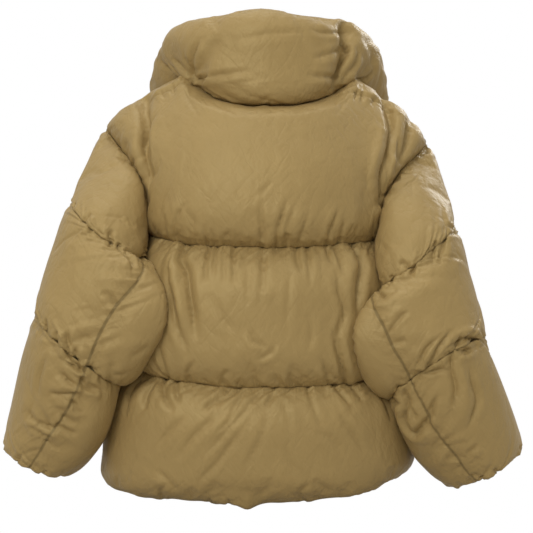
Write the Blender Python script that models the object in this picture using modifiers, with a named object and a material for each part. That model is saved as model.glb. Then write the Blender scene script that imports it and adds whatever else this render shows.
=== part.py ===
"""Down jacket in its worn, hollow form, with the back towards -Y and the front zip towards +Y.

The origin is the middle of the neck base, where a wearer's neck and shoulders carry the jacket.
Every panel is a padded wall: a grid of points on the seam-level surface, an outer face raised from
it by the down filling, and an inner face that bulges less. Panels meet along shared seam lines.
"""

import math

import bmesh
import bpy
import numpy as np
from mathutils import Matrix, Vector
from mathutils.bvhtree import BVHTree

# Sizes in metres.
SEAM_HALF = 0.0015  # half the thickness of the cloth and seam allowance at a seam
SEAM_GAP = 0.0004  # free gap between two panels along their seam
MITRE_REACH = 0.05  # how far from a seam two leaning panels are kept apart
TOUCH_GAP = 0.006  # free gap where a sleeve or the collar lies against the body

BACK_COLUMNS = 20  # grid intervals from side seam to side seam over the back
FRONT_COLUMNS = 10  # from a side seam to the zip
PANEL_ROWS = 6  # from one quilting seam to the next
ARMHOLE_ROWS = 10  # from the underarm to the shoulder point, half of a sleeve's columns
CLOSED_ROWS = 4  # of those, the rows beside the closed zip
SHOULDER_COLUMNS = 5  # of the top edge, the intervals along each shoulder seam

EASE_PASSES, EASE_REACH = 3, 0.03  # rounds of smoothing, and how far below the top edge it is full
SEAM_DIP = 0.8  # share of the filling missing over a sleeve's underarm seam
THIN_SHARE, THIN_REACH = 0.3, 0.11  # filling left under the arms, and how far that reaches
PUSH_REACH = 0.03  # from an armhole or neck seam, over which a push grows to its full size
FLATTEN_MARGIN = 0.001  # free room kept when two fillings flatten each other
FLATTEN_STEP = 0.8
THINNEST = 0.0004  # least thickness of a face over the seam-level grid
FLATTEN_ROUNDS = 20
PROBE = Vector((0.3017, 0.5131, 0.8035)).normalized()  # any direction that follows no seam
AXIS_X, AXIS_Y = -0.006, 0.0  # the body's middle line, seen from above

ZIP_HALF = 0.0065  # from the middle of the zip to each front edge
TAPE_WIDTH = 0.0060  # of the tape that shows beside each front edge
TAPE_THICK = 0.0012
SLIDER_WIDTH, SLIDER_TALL = 0.0106, 0.0110
SLIDER_PLATE = 0.0013  # thickness of each plate
SLIDER_MOUTH = 0.0026  # room between the plates for the tape
SLIDER_POST = 0.0010
BRIDGE_BAR = 0.0012  # square bar of the bridge that holds the pull
BRIDGE_TALL = 0.0040  # from the front plate to the outside of the bridge
BRIDGE_INSET = 0.0014  # from the slider's end to the middle of each leg of the bridge
SUNK = 0.0002  # how far one bar of the slider reaches into the next
PULL_BAR = 0.0011
PULL_EYE = (0.0034, 0.0078)  # inside width and length of the pull's eye
PULL_WIDTH, PULL_LENGTH = 0.0068, 0.0300
PULL_EASE = 0.0002  # width of the pull's eased edges
BAR_TRIM = 0.95  # thickness of a bar that joins others, against theirs
TAB_SHARE = 1.04  # thickness of the pull's tab against its bars

# The body's seam rings. y is positive at the front; z differs at the sides, back and front.
BODY_RINGS = {
    "underarm": dict(centre_x=-0.003, centre_y=-0.022, half_width=0.179, back=0.117, front=0.147,
                     z_left=-0.203, z_right=-0.207, z_back=-0.222, z_front=-0.232, squareness=2.3),
    "waist": dict(centre_x=-0.010, centre_y=-0.015, half_width=0.211, back=0.137, front=0.150,
                  z_left=-0.405, z_right=-0.418, z_back=-0.430, z_front=-0.430, squareness=2.2),
    "hem": dict(centre_x=-0.014, centre_y=-0.010, half_width=0.222, back=0.135, front=0.133,
                z_left=-0.597, z_right=-0.574, z_back=-0.603, z_front=-0.594, squareness=2.4),
}  # fmt: skip

# Seam points of the shoulders and neck, left and right as seen from behind (left is -X).
NECK_BACK = [(-0.120, -0.008, 0.051), (-0.085, -0.060, 0.016), (-0.045, -0.082, -0.001),
             (0.002, -0.088, -0.004), (0.050, -0.082, -0.001), (0.090, -0.059, 0.014),
             (0.125, -0.008, 0.047)]  # fmt: skip
SHOULDER = {
    "left": [(-0.255, 0.002, -0.031), (-0.230, 0.000, -0.010), (-0.190, -0.002, 0.018),
             (-0.156, -0.005, 0.036), (-0.120, -0.008, 0.051)],
    "right": [(0.255, 0.002, -0.057), (0.232, 0.000, -0.026), (0.196, -0.002, 0.007),
              (0.160, -0.005, 0.029), (0.125, -0.008, 0.047)],
}  # fmt: skip
ARMHOLE_BACK = {
    "left": [(-0.182, -0.022, -0.203), (-0.184, -0.048, -0.184), (-0.186, -0.070, -0.146),
             (-0.197, -0.070, -0.108), (-0.220, -0.046, -0.076), (-0.255, 0.002, -0.031)],
    "right": [(0.176, -0.022, -0.207), (0.177, -0.048, -0.188), (0.179, -0.070, -0.155),
              (0.192, -0.070, -0.126), (0.216, -0.046, -0.096), (0.255, 0.002, -0.057)],
}  # fmt: skip
ARMHOLE_FRONT = {
    "left": [(-0.182, -0.022, -0.203), (-0.183, 0.006, -0.186), (-0.184, 0.032, -0.150),
             (-0.194, 0.046, -0.110), (-0.218, 0.036, -0.074), (-0.255, 0.002, -0.031)],
    "right": [(0.176, -0.022, -0.207), (0.177, 0.006, -0.190), (0.179, 0.032, -0.156),
              (0.190, 0.046, -0.124), (0.214, 0.036, -0.094), (0.255, 0.002, -0.057)],
}  # fmt: skip
NECK_FRONT = {
    "left": [(-0.045, 0.112, -0.072), (-0.082, 0.090, -0.030), (-0.110, 0.048, 0.020),
             (-0.120, -0.008, 0.051)],
    "right": [(0.045, 0.112, -0.074), (0.084, 0.090, -0.032), (0.114, 0.048, 0.016),
              (0.125, -0.008, 0.047)],
}  # fmt: skip
ZIP_TOP = (0.0, 0.122, -0.150)  # where the closed zip ends and the front edges part
ZIP_LEAN = math.radians(4.5)  # the zip leans back by this angle at the slider

# Sleeve seam rings: out is the half width towards the outer edge, depth the half size in y, and
# back_drop how much lower the ring's back is than its middle. twist is by how many degrees the
# underarm seam has turned from the inner side towards the back.
SLEEVE_RINGS = {
    "left": [
        dict(centre=(-0.242, -0.080, -0.194), out=(-0.056, 0.041), depth=0.072, back_drop=0.016,
             twist=30),
        dict(centre=(-0.286, -0.104, -0.376), out=(-0.062, 0.053), depth=0.074, back_drop=0.004,
             twist=72),
        dict(centre=(-0.356, -0.070, -0.545), out=(-0.044, 0.021), depth=0.064, back_drop=0.008,
             twist=90),
    ],
    "right": [
        dict(centre=(0.225, -0.082, -0.236), out=(0.061, 0.050), depth=0.072, back_drop=0.010,
             twist=30),
        dict(centre=(0.257, -0.106, -0.410), out=(0.071, 0.045), depth=0.074, back_drop=-0.026,
             twist=52),
        dict(centre=(0.339, -0.074, -0.555), out=(0.050, 0.027), depth=0.064, back_drop=0.008,
             twist=66),
    ],
}  # fmt: skip
# How far the filling pushes each sleeve length over the body's back, halfway along it.
SLEEVE_LOBES = {"left": (0.004, 0.060, 0.014), "right": (0.014, 0.050, 0.010)}
SEAM_BOWS = {"left": (0, 30, 0), "right": (0, 24, 0)}  # degrees the underarm seam bows to the back

# The collar's seam-level line at its top, from the left front corner round the back.
COLLAR_TOP = [(-0.150, 0.180, -0.040), (-0.184, 0.135, -0.004), (-0.190, 0.085, 0.046),
              (-0.172, 0.035, 0.092), (-0.141, -0.012, 0.130), (-0.086, -0.056, 0.139),
              (-0.010, -0.082, 0.146), (0.060, -0.064, 0.139), (0.122, -0.018, 0.137),
              (0.171, 0.031, 0.105), (0.199, 0.082, 0.038), (0.196, 0.135, -0.008),
              (0.150, 0.180, -0.044)]  # fmt: skip

# Filling of each kind of panel: how far the outer and inner faces stand off the seam surface at
# the crown, and how far from each edge the faces take to round up to it.
FILLING = {
    "back_upper": dict(outer=0.030, inner=0.010, bottom=0.050, top=0.040, sides=0.036),
    "body": dict(outer=0.030, inner=0.010, bottom=0.060, top=0.080, sides=0.040),
    "hem": dict(outer=0.028, inner=0.010, bottom=0.034, top=0.070, sides=0.040),
    "front_upper": dict(outer=0.024, inner=0.008, bottom=0.050, top=0.050, sides=0.045),
    "sleeve": dict(outer=0.018, inner=0.008, bottom=0.045, top=0.045, sides=1.0),
    "cuff": dict(outer=0.018, inner=0.008, bottom=0.100, top=0.045, sides=1.0),
    "collar": dict(outer=0.036, inner=0.022, bottom=0.030, top=0.045, sides=0.030),
}

# Deep folds in the outer face: from and to are (height, width) shares of the panel, depth is the
# share of the filling missing in the fold, and width its half width in metres.
FOLDS = {
    "back_upper": [
        dict(start=(0.93, 0.135), end=(0.42, 0.085), depth=0.55, width=0.013),
        dict(start=(0.97, 0.845), end=(0.25, 0.945), depth=0.60, width=0.013),
        dict(start=(0.96, 0.925), end=(0.62, 0.955), depth=0.45, width=0.010),
    ],
    "collar": [
        dict(start=(0.16, 0.335), end=(0.66, 0.420), depth=0.65, width=0.013, fade=0.8),
        dict(start=(0.30, 0.345), end=(0.62, 0.300), depth=0.45, width=0.013, fade=0.7),
        dict(start=(0.02, 0.340), end=(0.02, 0.420), depth=0.60, width=0.022, fade=0.5),
        dict(start=(0.20, 0.650), end=(0.74, 0.645), depth=0.65, width=0.013),
        dict(start=(0.74, 0.645), end=(0.90, 0.600), depth=0.55, width=0.012, fade=0.6),
        dict(start=(0.02, 0.665), end=(0.02, 0.625), depth=0.55, width=0.020, fade=0.5),
        dict(start=(0.25, 0.265), end=(0.62, 0.250), depth=0.35, width=0.014, fade=0.5),
        dict(start=(0.20, 0.725), end=(0.50, 0.730), depth=0.35, width=0.014, fade=0.5),
    ],
    "front_left_upper": [dict(start=(0.90, 0.20), end=(0.35, 0.12), depth=0.50, width=0.013)],
    "front_right_upper": [dict(start=(0.92, 0.22), end=(0.40, 0.12), depth=0.50, width=0.013)],
}  # fmt: skip

KHAKI = (0.36, 0.25, 0.095, 1.0)
TAPE_KHAKI = (0.22, 0.15, 0.055, 1.0)
METAL = (0.55, 0.52, 0.45, 1.0)


def material(name, colour, roughness, metallic=0.0):
    """A Principled material with the piece's plain finish."""
    made = bpy.data.materials.get(name) or bpy.data.materials.new(name)
    made.use_nodes = True
    made.diffuse_color = colour
    shader = made.node_tree.nodes["Principled BSDF"]
    shader.inputs["Base Color"].default_value = colour
    shader.inputs["Roughness"].default_value = roughness
    shader.inputs["Metallic"].default_value = metallic
    return made


def unit(vectors):
    """The vectors at length one."""
    lengths = np.linalg.norm(vectors, axis=-1, keepdims=True)
    return vectors / np.maximum(lengths, 1e-12)


def smooth_line(points, count):
    """count points evenly spaced along a smooth curve through the given points."""
    given = np.array(points, float)
    padded = np.vstack([2 * given[0] - given[1], given, 2 * given[-1] - given[-2]])
    fine = []
    for p0, p1, p2, p3 in zip(padded, padded[1:], padded[2:], padded[3:]):
        t = np.linspace(0, 1, 24, endpoint=False)[:, None]
        fine.append(0.5 * (2 * p1 + (p2 - p0) * t + (2 * p0 - 5 * p1 + 4 * p2 - p3) * t**2
                           + (3 * p1 - p0 - 3 * p2 + p3) * t**3))  # fmt: skip
    fine = np.vstack(fine + [given[-1:]])
    steps = np.linalg.norm(np.diff(fine, axis=0), axis=1)
    along = np.concatenate([[0], np.cumsum(steps)])
    wanted = np.linspace(0, along[-1], count)
    return np.stack([np.interp(wanted, along, fine[:, k]) for k in range(3)], axis=1)


def body_ring(row, degrees):
    """Points of a body seam ring. 0 is the right side, 90 the front, 180 the left, 270 the back."""
    angle = np.radians(np.asarray(degrees, float))
    c, s = np.cos(angle), np.sin(angle)
    power = 2 / row["squareness"]
    depth = np.where(s > 0, row["front"], row["back"])
    z_middle = np.where(s > 0, row["z_front"], row["z_back"])
    x = row["centre_x"] + row["half_width"] * np.sign(c) * np.abs(c) ** power
    y = row["centre_y"] + depth * np.sign(s) * np.abs(s) ** power
    z_side = np.where(c > 0, row["z_right"], row["z_left"])
    z = z_side + (z_middle - z_side) * s**2
    return np.stack([x, y, z], axis=1)


def front_ring(row, side):
    """The part of a ring from a side seam to that side's zip edge."""
    reach = (ZIP_HALF / row["half_width"]) ** (row["squareness"] / 2)
    last = math.degrees(math.acos(reach))
    degrees = np.linspace(0, last, FRONT_COLUMNS + 1)
    return body_ring(row, 180 - degrees if side == "left" else degrees)


def back_ring(row):
    """The part of a ring from the left side seam over the back to the right one."""
    return body_ring(row, np.linspace(180, 360, BACK_COLUMNS + 1))


def eased_rows(count):
    """Row positions from 0 to 1, closer together near both seams."""
    t = np.linspace(0, 1, count + 1)
    return 0.55 * t + 0.45 * (0.5 - 0.5 * np.cos(math.pi * t))


def loft(lower, upper, rows):
    """A grid from the lower line (row 0) to the upper line."""
    t = rows[:, None, None]
    return lower[None] * (1 - t) + upper[None] * t


def side_patch(bottom, top, left, right, fall=3.0):
    """A grid with four given edges, whose side edges bend the surface only near them."""
    rows, columns = len(left), len(bottom)
    u = np.linspace(0, 1, columns)[None, :, None]
    v = np.linspace(0, 1, rows)[:, None, None]
    across = (1 - v) * bottom[None] + v * top[None]
    left_bend = left[:, None] - ((1 - v) * bottom[0] + v * top[0])
    right_bend = right[:, None] - ((1 - v) * bottom[-1] + v * top[-1])
    return across + (1 - u) ** fall * left_bend + u**fall * right_bend


def ease_across(grid):
    """Smooths the kinks that the top edge's corners send down a panel, but not its edges."""
    soft = 0.5 * np.clip(np.linalg.norm(grid - grid[-1:], axis=2) / EASE_REACH, 0, 1)
    soft = soft[1:-1, 1:-1, None]
    for _ in range(EASE_PASSES):
        middle = (grid[1:-1, :-2] + grid[1:-1, 2:]) / 2
        grid[1:-1, 1:-1] += soft * (middle - grid[1:-1, 1:-1])
    return grid


def rise(distance, reach):
    """0 at a seam, rising as a quarter circle to 1 at the given reach."""
    return np.sqrt(1 - (1 - np.clip(distance / reach, 0, 1)) ** 2)


class Panel:
    """One padded piece: its seam-level grid, its filling, and which edges are seams."""

    def __init__(self, name, grid, filling, outward, tube=False, plump=1.0, padded=1.0):
        self.name, self.grid, self.tube = name, grid, tube
        self.filling, self.outward = FILLING[filling], outward
        self.plump, self.padded = plump, padded  # shares of the outer and the inner filling
        for fold in FOLDS.get(name, ()):
            self.plump = self.plump * self.fold_share(**fold)
        self.shape()

    def fold_share(self, start, end, depth, width, fade=0.0):
        """Share of the filling left at each grid point by a fold, which may fade to its end."""
        first, last = self.place(*start), self.place(*end)
        line = last - first
        along = np.clip((self.grid - first) @ line / (line @ line), 0, 1)
        away = np.linalg.norm(self.grid - first - along[..., None] * line, axis=2)
        return 1 - depth * (1 - fade * along) * np.exp(-((away / width) ** 2))

    def place(self, v, u):
        """The point of the grid at a share v of its height and u of its width."""
        rows, columns = self.grid.shape[:2]
        i, j = v * (rows - 1), u * (columns - 1)
        i0, j0 = min(int(i), rows - 2), min(int(j), columns - 2)
        low = self.grid[i0, j0] * (1 - j + j0) + self.grid[i0, j0 + 1] * (j - j0)
        high = self.grid[i0 + 1, j0] * (1 - j + j0) + self.grid[i0 + 1, j0 + 1] * (j - j0)
        return low * (1 - i + i0) + high * (i - i0)

    def shape(self):
        """Finds the normals and the filling's height again, as after the grid was moved."""
        self.normals = self.surface_normals()
        self.outer, self.inner = self.standoff()

    def surface_normals(self):
        """Unit normals of the grid, turned to the outside."""
        if self.tube:
            along = np.roll(self.grid, -1, 1) - np.roll(self.grid, 1, 1)
        else:
            along = np.gradient(self.grid, axis=1)
        up = np.gradient(self.grid, axis=0)
        normals = unit(np.cross(along, up))
        self.turn = 1 if np.sum(normals * self.outward) > 0 else -1
        return normals * self.turn

    def distances(self, axis):
        """Distance of each grid point from the first and the last line across that axis."""
        steps = np.linalg.norm(np.diff(self.grid, axis=axis), axis=2)
        zero = np.zeros_like(np.take(steps, [0], axis))
        walked = np.cumsum(np.concatenate([zero, steps], axis), axis)
        return walked, np.take(walked, [-1], axis) - walked

    def standoff(self):
        """Height of the outer and of the inner face over the seam-level grid."""
        fill = self.filling
        low, high = self.distances(0)
        shape = rise(low, fill["bottom"]) * rise(high, fill["top"])
        if not self.tube:
            first, last = self.distances(1)
            shape = shape * rise(first, fill["sides"]) * rise(last, fill["sides"])
        return fill["outer"] * shape * self.plump, fill["inner"] * shape * self.padded

    def tree(self):
        """A search tree over its closed surface, and that surface's triangles."""
        points, triangles = shell_triangles(*faces_of(self), self.tube)
        tree = BVHTree.FromPolygons([Vector(p) for p in points], triangles.tolist())
        return tree, triangles

    def edge_loops(self):
        """The grid's boundary as closed rows of indices, each running round it the same way."""
        rows, columns = self.grid.shape[:2]
        first = [(0, j) for j in range(columns)]
        last = [(rows - 1, j) for j in reversed(range(columns))]
        if self.tube:
            return [first, last]
        right = [(i, columns - 1) for i in range(1, rows - 1)]
        left = [(i, 0) for i in reversed(range(1, rows - 1))]
        return [first + right + last + left]

    def edge_points(self):
        """All indices of the grid's boundary."""
        return [point for loop in self.edge_loops() for point in loop]


def share_seam_normals(panels):
    """Along each seam, every panel that meets there gets the same normal, so that ends mitre.

    Body, sleeves and collar count equally, however many of their panels meet at a point.
    """
    groups = {}
    for panel in panels:
        group = {"sleeve": "sleeve", "collar": "collar"}.get(panel.name.split("_")[0], "body")
        for i, j in panel.edge_points():
            sums = groups.setdefault(tuple(np.round(panel.grid[i, j], 5)), {})
            sums[group] = sums.get(group, 0) + panel.normals[i, j]
    shared = {key: unit(sum(unit(n) for n in sums.values())) for key, sums in groups.items()}
    for panel in panels:
        for i, j in panel.edge_points():
            panel.normals[i, j] = shared[tuple(np.round(panel.grid[i, j], 5))]


def keep_behind_seams(panel):
    """Lowers both faces near each seam so that they stay on their own side of the mitre plane."""
    edges = [(0, 0, 1)] + [(0, -1, -2)]
    if not panel.tube:
        edges += [(1, 0, 1), (1, -1, -2)]
    for axis, edge, beside in edges:
        walked = panel.distances(axis)[0 if edge == 0 else 1]
        seam = np.take(panel.normals, [edge], axis)
        own = np.take(panel.normals, [beside], axis)
        inward = unit(np.take(panel.grid, [beside], axis) - np.take(panel.grid, [edge], axis))
        upright = np.sum(seam * own, axis=2)
        lean = np.sum(seam * inward, axis=2)
        for sign, face in ((1, "outer"), (-1, "inner")):
            tilt = np.maximum(sign * lean, 1e-6)
            highest = (walked * np.maximum(upright, 0.2) - SEAM_GAP) / tilt - SEAM_HALF
            highest = np.where(walked > MITRE_REACH, 1.0, np.maximum(highest, 0.0))
            setattr(panel, face, np.minimum(getattr(panel, face), highest))


def settle_seams(panels):
    """Gives all panels their faces, mitred where they meet."""
    for panel in panels:
        panel.shape()
    share_seam_normals(panels)
    for panel in panels:
        keep_behind_seams(panel)


def inset_edges(panel):
    """Draws each edge back by half the seam gap, in the surface square to the shared normals."""
    moved = panel.grid.copy()
    for loop in panel.edge_loops():
        for before, here, after in zip(loop[-1:] + loop[:-1], loop, loop[1:] + loop[:1]):
            steps = (panel.grid[here] - panel.grid[before], panel.grid[after] - panel.grid[here])
            inward = [unit(np.cross(panel.normals[here], step) * panel.turn) for step in steps]
            mitre = (inward[0] + inward[1]) / max(1 + inward[0] @ inward[1], 0.4)
            moved[here] += mitre * SEAM_GAP / 2
    panel.grid = moved


def faces_of(panel):
    """The outer and the inner face as grids of points."""
    outer = panel.grid + panel.normals * (SEAM_HALF + panel.outer)[..., None]
    inner = panel.grid - panel.normals * (SEAM_HALF + panel.inner)[..., None]
    return outer, inner


def grid_quads(rows, columns, tube, start=0):
    """Vertex numbers of a grid's quads."""
    last = columns if tube else columns - 1
    return [(start + i * columns + j, start + i * columns + (j + 1) % columns,
             start + (i + 1) * columns + (j + 1) % columns, start + (i + 1) * columns + j)
            for i in range(rows - 1) for j in range(last)]  # fmt: skip


def shell_quads(rows, columns, tube):
    """Vertex numbers of the quads of an outer and an inner face joined round their edges."""
    count = rows * columns
    quads = grid_quads(rows, columns, tube)
    quads += [tuple(reversed(q)) for q in grid_quads(rows, columns, tube, count)]
    loops = [[j for j in range(columns)], [(rows - 1) * columns + j for j in range(columns)][::-1]]
    if tube:
        loops = [loop + loop[:1] for loop in loops]
    else:
        right = [i * columns + columns - 1 for i in range(rows)]
        left = [i * columns for i in range(rows)][::-1]
        loops += [right, left]
    for loop in loops:
        quads += [(b, a, a + count, b + count) for a, b in zip(loop, loop[1:])]
    return quads


def shell_triangles(outer, inner, tube):
    """Points and triangles of a closed surface; each quad is split along its shorter diagonal."""
    points = np.vstack([outer.reshape(-1, 3), inner.reshape(-1, 3)])
    quads = np.array(shell_quads(*outer.shape[:2], tube))
    a, b, c, d = (points[quads[:, k]] for k in range(4))
    short = np.linalg.norm(a - c, axis=1) <= np.linalg.norm(b - d, axis=1)
    first = np.where(short[:, None], quads[:, [0, 1, 2]], quads[:, [0, 1, 3]])
    second = np.where(short[:, None], quads[:, [0, 2, 3]], quads[:, [1, 2, 3]])
    return points, np.vstack([first, second])


def closed_mesh(name, outer, inner, tube):
    """One closed mesh from an outer and an inner face."""
    points, triangles = shell_triangles(outer, inner, tube)
    mesh = bpy.data.meshes.new(name)
    mesh.from_pydata(points.tolist(), [], triangles.tolist())
    shaped = bmesh.new()
    shaped.from_mesh(mesh)
    bmesh.ops.recalc_face_normals(shaped, faces=shaped.faces)
    if shaped.calc_volume(signed=True) < 0:
        bmesh.ops.reverse_faces(shaped, faces=shaped.faces)
    shaped.to_mesh(mesh)
    shaped.free()
    return mesh


def face_tree(panels):
    """A search tree over the outer faces of some panels."""
    points, polygons = [], []
    for panel in panels:
        outer = faces_of(panel)[0]
        polygons += grid_quads(outer.shape[0], outer.shape[1], panel.tube, len(points))
        points += [Vector(p) for p in outer.reshape(-1, 3)]
    return BVHTree.FromPolygons(points, polygons)


def smooth_push(push, tube, times=2):
    """Spreads a push over the neighbouring grid points, so that the dent has no corners."""
    for _ in range(times):
        beside = (np.roll(push, 1, 1), np.roll(push, -1, 1))
        if not tube:
            beside = (np.hstack([push[:, :1], push[:, :-1]]), np.hstack([push[:, 1:], push[:, -1:]]))
        above = np.vstack([push[:1], push[:-1]])
        below = np.vstack([push[1:], push[-1:]])
        push = np.maximum(push, (beside[0] + beside[1] + above + below) / 4)
    return push


def sleeve_off_body(parts, tree):
    """Dents a sleeve where it lies against the body, straight away from the body's middle line."""
    keep = [slice(0, None)] + [slice(1, None)] * (len(parts) - 1)
    outer = np.vstack([faces_of(part)[0][k] for part, k in zip(parts, keep)])
    axis = np.zeros_like(outer)
    axis[..., 0], axis[..., 1], axis[..., 2] = AXIS_X, AXIS_Y, outer[..., 2]
    away = unit(outer - axis)
    push = np.zeros(outer.shape[:2])
    for i, j in np.ndindex(*push.shape):
        place, _, _, distance = tree.ray_cast(Vector(axis[i, j]), Vector(away[i, j]))
        if place is not None:
            push[i, j] = max(0.0, distance + TOUCH_GAP - np.linalg.norm(outer[i, j] - axis[i, j]))
    push = smooth_push(push, True)
    walked = parts[0].distances(0)[0]
    push[: len(walked)] *= np.clip(walked / PUSH_REACH, 0, 1)
    first = 0
    for part in parts:
        rows = slice(first, first + len(part.grid))
        part.grid = part.grid + away[rows] * push[rows, :, None]
        first += len(part.grid) - 1


def collar_off_shoulders(panel, tree):
    """Lifts the collar where it lies on the shoulders and the front."""
    push = np.zeros(panel.grid.shape[:2])
    for face in faces_of(panel):
        for i, j in np.ndindex(*push.shape):
            above = Vector((face[i, j, 0], face[i, j, 1], 0.4))
            place, _, _, _ = tree.ray_cast(above, Vector((0, 0, -1)))
            if place is not None and place.z - face[i, j, 2] < 0.08:
                push[i, j] = max(push[i, j], place.z + TOUCH_GAP - face[i, j, 2])
    walked = panel.distances(0)[0]
    panel.grid[..., 2] += smooth_push(push, False) * np.clip(walked / PUSH_REACH, 0, 1)


def is_inside(tree, point):
    """Whether a point is in a closed surface: a ray from it leaves an odd number of times."""
    crossings, start = 0, Vector(point)
    place = tree.ray_cast(start, PROBE)[0]
    while place is not None and crossings < 20:
        crossings += 1
        place = tree.ray_cast(place + PROBE * 1e-6, PROBE)[0]
    return crossings % 2 == 1


def lowered(height):
    """A smaller height, which ends a little below the seam's own thickness."""
    return max(height * FLATTEN_STEP - 0.0002, THINNEST - SEAM_HALF)


def lower_into(panel, other):
    """Lowers the filling of a panel at the points that lie in another closed surface."""
    for sign, face in ((1, "outer"), (-1, "inner")):
        heights = getattr(panel, face)
        reach = (SEAM_HALF + heights + FLATTEN_MARGIN)[..., None]
        points = panel.grid + sign * panel.normals * reach
        for i, j in np.ndindex(*heights.shape):
            if is_inside(other, points[i, j]):
                heights[i, j] = lowered(heights[i, j])


def lower_crossing(panel, triangles):
    """Lowers the filling of a panel at the corners of some of its triangles."""
    count = panel.outer.size
    for corner in {corner for triangle in triangles for corner in triangle}:
        heights = panel.outer if corner < count else panel.inner
        heights.flat[corner % count] = lowered(heights.flat[corner % count])


def flatten_contacts(panels):
    """Flattens the filling wherever two panels, or two parts of one, would cross."""
    for _ in range(FLATTEN_ROUNDS):
        trees, triangles = zip(*[panel.tree() for panel in panels])
        clear = True
        for a, panel in enumerate(panels):
            own = [set(triangles[a][f]) for pair in trees[a].overlap(trees[a]) for f in pair
                   if not set(triangles[a][pair[0]]) & set(triangles[a][pair[1]])]  # fmt: skip
            lower_crossing(panel, own)
            clear = clear and not own
            for b in range(a + 1, len(panels)):
                crossing = trees[a].overlap(trees[b])
                if crossing:
                    clear = False
                    lower_into(panel, trees[b])
                    lower_into(panels[b], trees[a])
                    lower_crossing(panel, [set(triangles[a][f]) for f, _ in crossing])
                    lower_crossing(panels[b], [set(triangles[b][f]) for _, f in crossing])
        if clear:
            return


def sleeve_ring(row):
    """A sleeve ring's points, from the outer edge over the back, the inner edge and the front."""
    columns = 2 * ARMHOLE_ROWS
    angle = np.linspace(0, 2 * math.pi, columns, endpoint=False)
    angle = angle - math.radians(row["twist"]) * np.sin(angle / 2) ** 2
    centre = np.array(row["centre"])
    out = np.array([row["out"][0], 0, row["out"][1]])
    ring = centre + np.cos(angle)[:, None] * out
    ring[:, 1] -= row["depth"] * np.sin(angle)
    ring[:, 2] -= row["back_drop"] * np.sin(angle)
    return ring


def armhole_ring(side):
    """The armhole's points in the order of a sleeve ring: shoulder, back, underarm, front."""
    back = smooth_line(ARMHOLE_BACK[side], ARMHOLE_ROWS + 1)[::-1]
    front = smooth_line(ARMHOLE_FRONT[side], ARMHOLE_ROWS + 1)
    return np.vstack([back[:-1], front[:-1]])


def thin_sides(grid, both_sides):
    """Share of the filling over the body: little under the arms, all of it from there on."""
    from_side = np.linalg.norm(np.diff(grid[0], axis=0), axis=1)
    walked = np.concatenate([[0], np.cumsum(from_side)])
    if both_sides:
        walked = np.minimum(walked, walked[-1] - walked)
    share = THIN_SHARE + (1 - THIN_SHARE) * np.clip(walked / THIN_REACH, 0, 1) ** 1.5
    return share[None]


def upper_back():
    """Back panel from the underarm seam up to the shoulders and neck."""
    bottom = back_ring(BODY_RINGS["underarm"])
    left = smooth_line(ARMHOLE_BACK["left"], ARMHOLE_ROWS + 1)
    right = smooth_line(ARMHOLE_BACK["right"], ARMHOLE_ROWS + 1)
    neck = smooth_line(NECK_BACK, BACK_COLUMNS - 2 * SHOULDER_COLUMNS + 1)
    shoulders = {s: smooth_line(SHOULDER[s], SHOULDER_COLUMNS + 1) for s in SHOULDER}
    top = np.vstack([shoulders["left"][:-1], neck, shoulders["right"][::-1][1:]])
    grid = ease_across(side_patch(bottom, top, left, right))
    low = np.linspace(1, 0, len(left))[:, None]
    plump = 1 - (1 - thin_sides(grid, True)) * low
    return Panel("back_upper", grid, "back_upper", (0, -1, 0), plump=plump)


def zip_edge_top(side):
    """The front edge above the underarm seam: beside the closed zip, then parting to the neck."""
    ring = front_ring(BODY_RINGS["underarm"], side)[-1]
    sign = -1 if side == "left" else 1
    parting = np.array(ZIP_TOP) + [sign * ZIP_HALF, 0, 0]
    closed = np.linspace(ring, parting, CLOSED_ROWS + 1)
    opened = smooth_line([parting, NECK_FRONT[side][0]], ARMHOLE_ROWS - CLOSED_ROWS + 1)
    return np.vstack([closed, opened[1:]])


def upper_front(side):
    """Front panel from the underarm seam up to the shoulder and the front neck."""
    bottom = front_ring(BODY_RINGS["underarm"], side)
    arm = smooth_line(ARMHOLE_FRONT[side], ARMHOLE_ROWS + 1)
    shoulder = smooth_line(SHOULDER[side], SHOULDER_COLUMNS + 1)
    neck = smooth_line(NECK_FRONT[side], FRONT_COLUMNS - SHOULDER_COLUMNS + 1)[::-1]
    top = np.vstack([shoulder[:-1], neck])
    grid = ease_across(side_patch(bottom, top, arm, zip_edge_top(side)))
    low = np.linspace(1, 0, len(arm))[:, None]
    plump = 1 - (1 - thin_sides(grid, False)) * low
    return Panel(f"front_{side}_upper", grid, "front_upper", (0, 1, 0), plump=plump)


def body_band(name, lower, upper, filling, side=None):
    """A panel between two of the body's seam rings: the back, or one side of the front."""
    lines = [front_ring(BODY_RINGS[ring], side) if side else back_ring(BODY_RINGS[ring])
             for ring in (lower, upper)]  # fmt: skip
    outward = (0, 1, 0) if side else (0, -1, 0)
    grid = loft(*lines, eased_rows(PANEL_ROWS))
    plump = thin_sides(grid, not side) if filling == "body" else 1.0
    return Panel(name, grid, filling, outward, plump=plump)


def turned_rings(grid, angles):
    """The points at the given angles round each ring of a tube's grid."""
    count = grid.shape[1]
    place = angles / (2 * math.pi) * count
    before = np.floor(place).astype(int)
    share = (place - before)[..., None]
    ring = np.arange(len(grid))[:, None]
    return grid[ring, before % count] * (1 - share) + grid[ring, (before + 1) % count] * share


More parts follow.
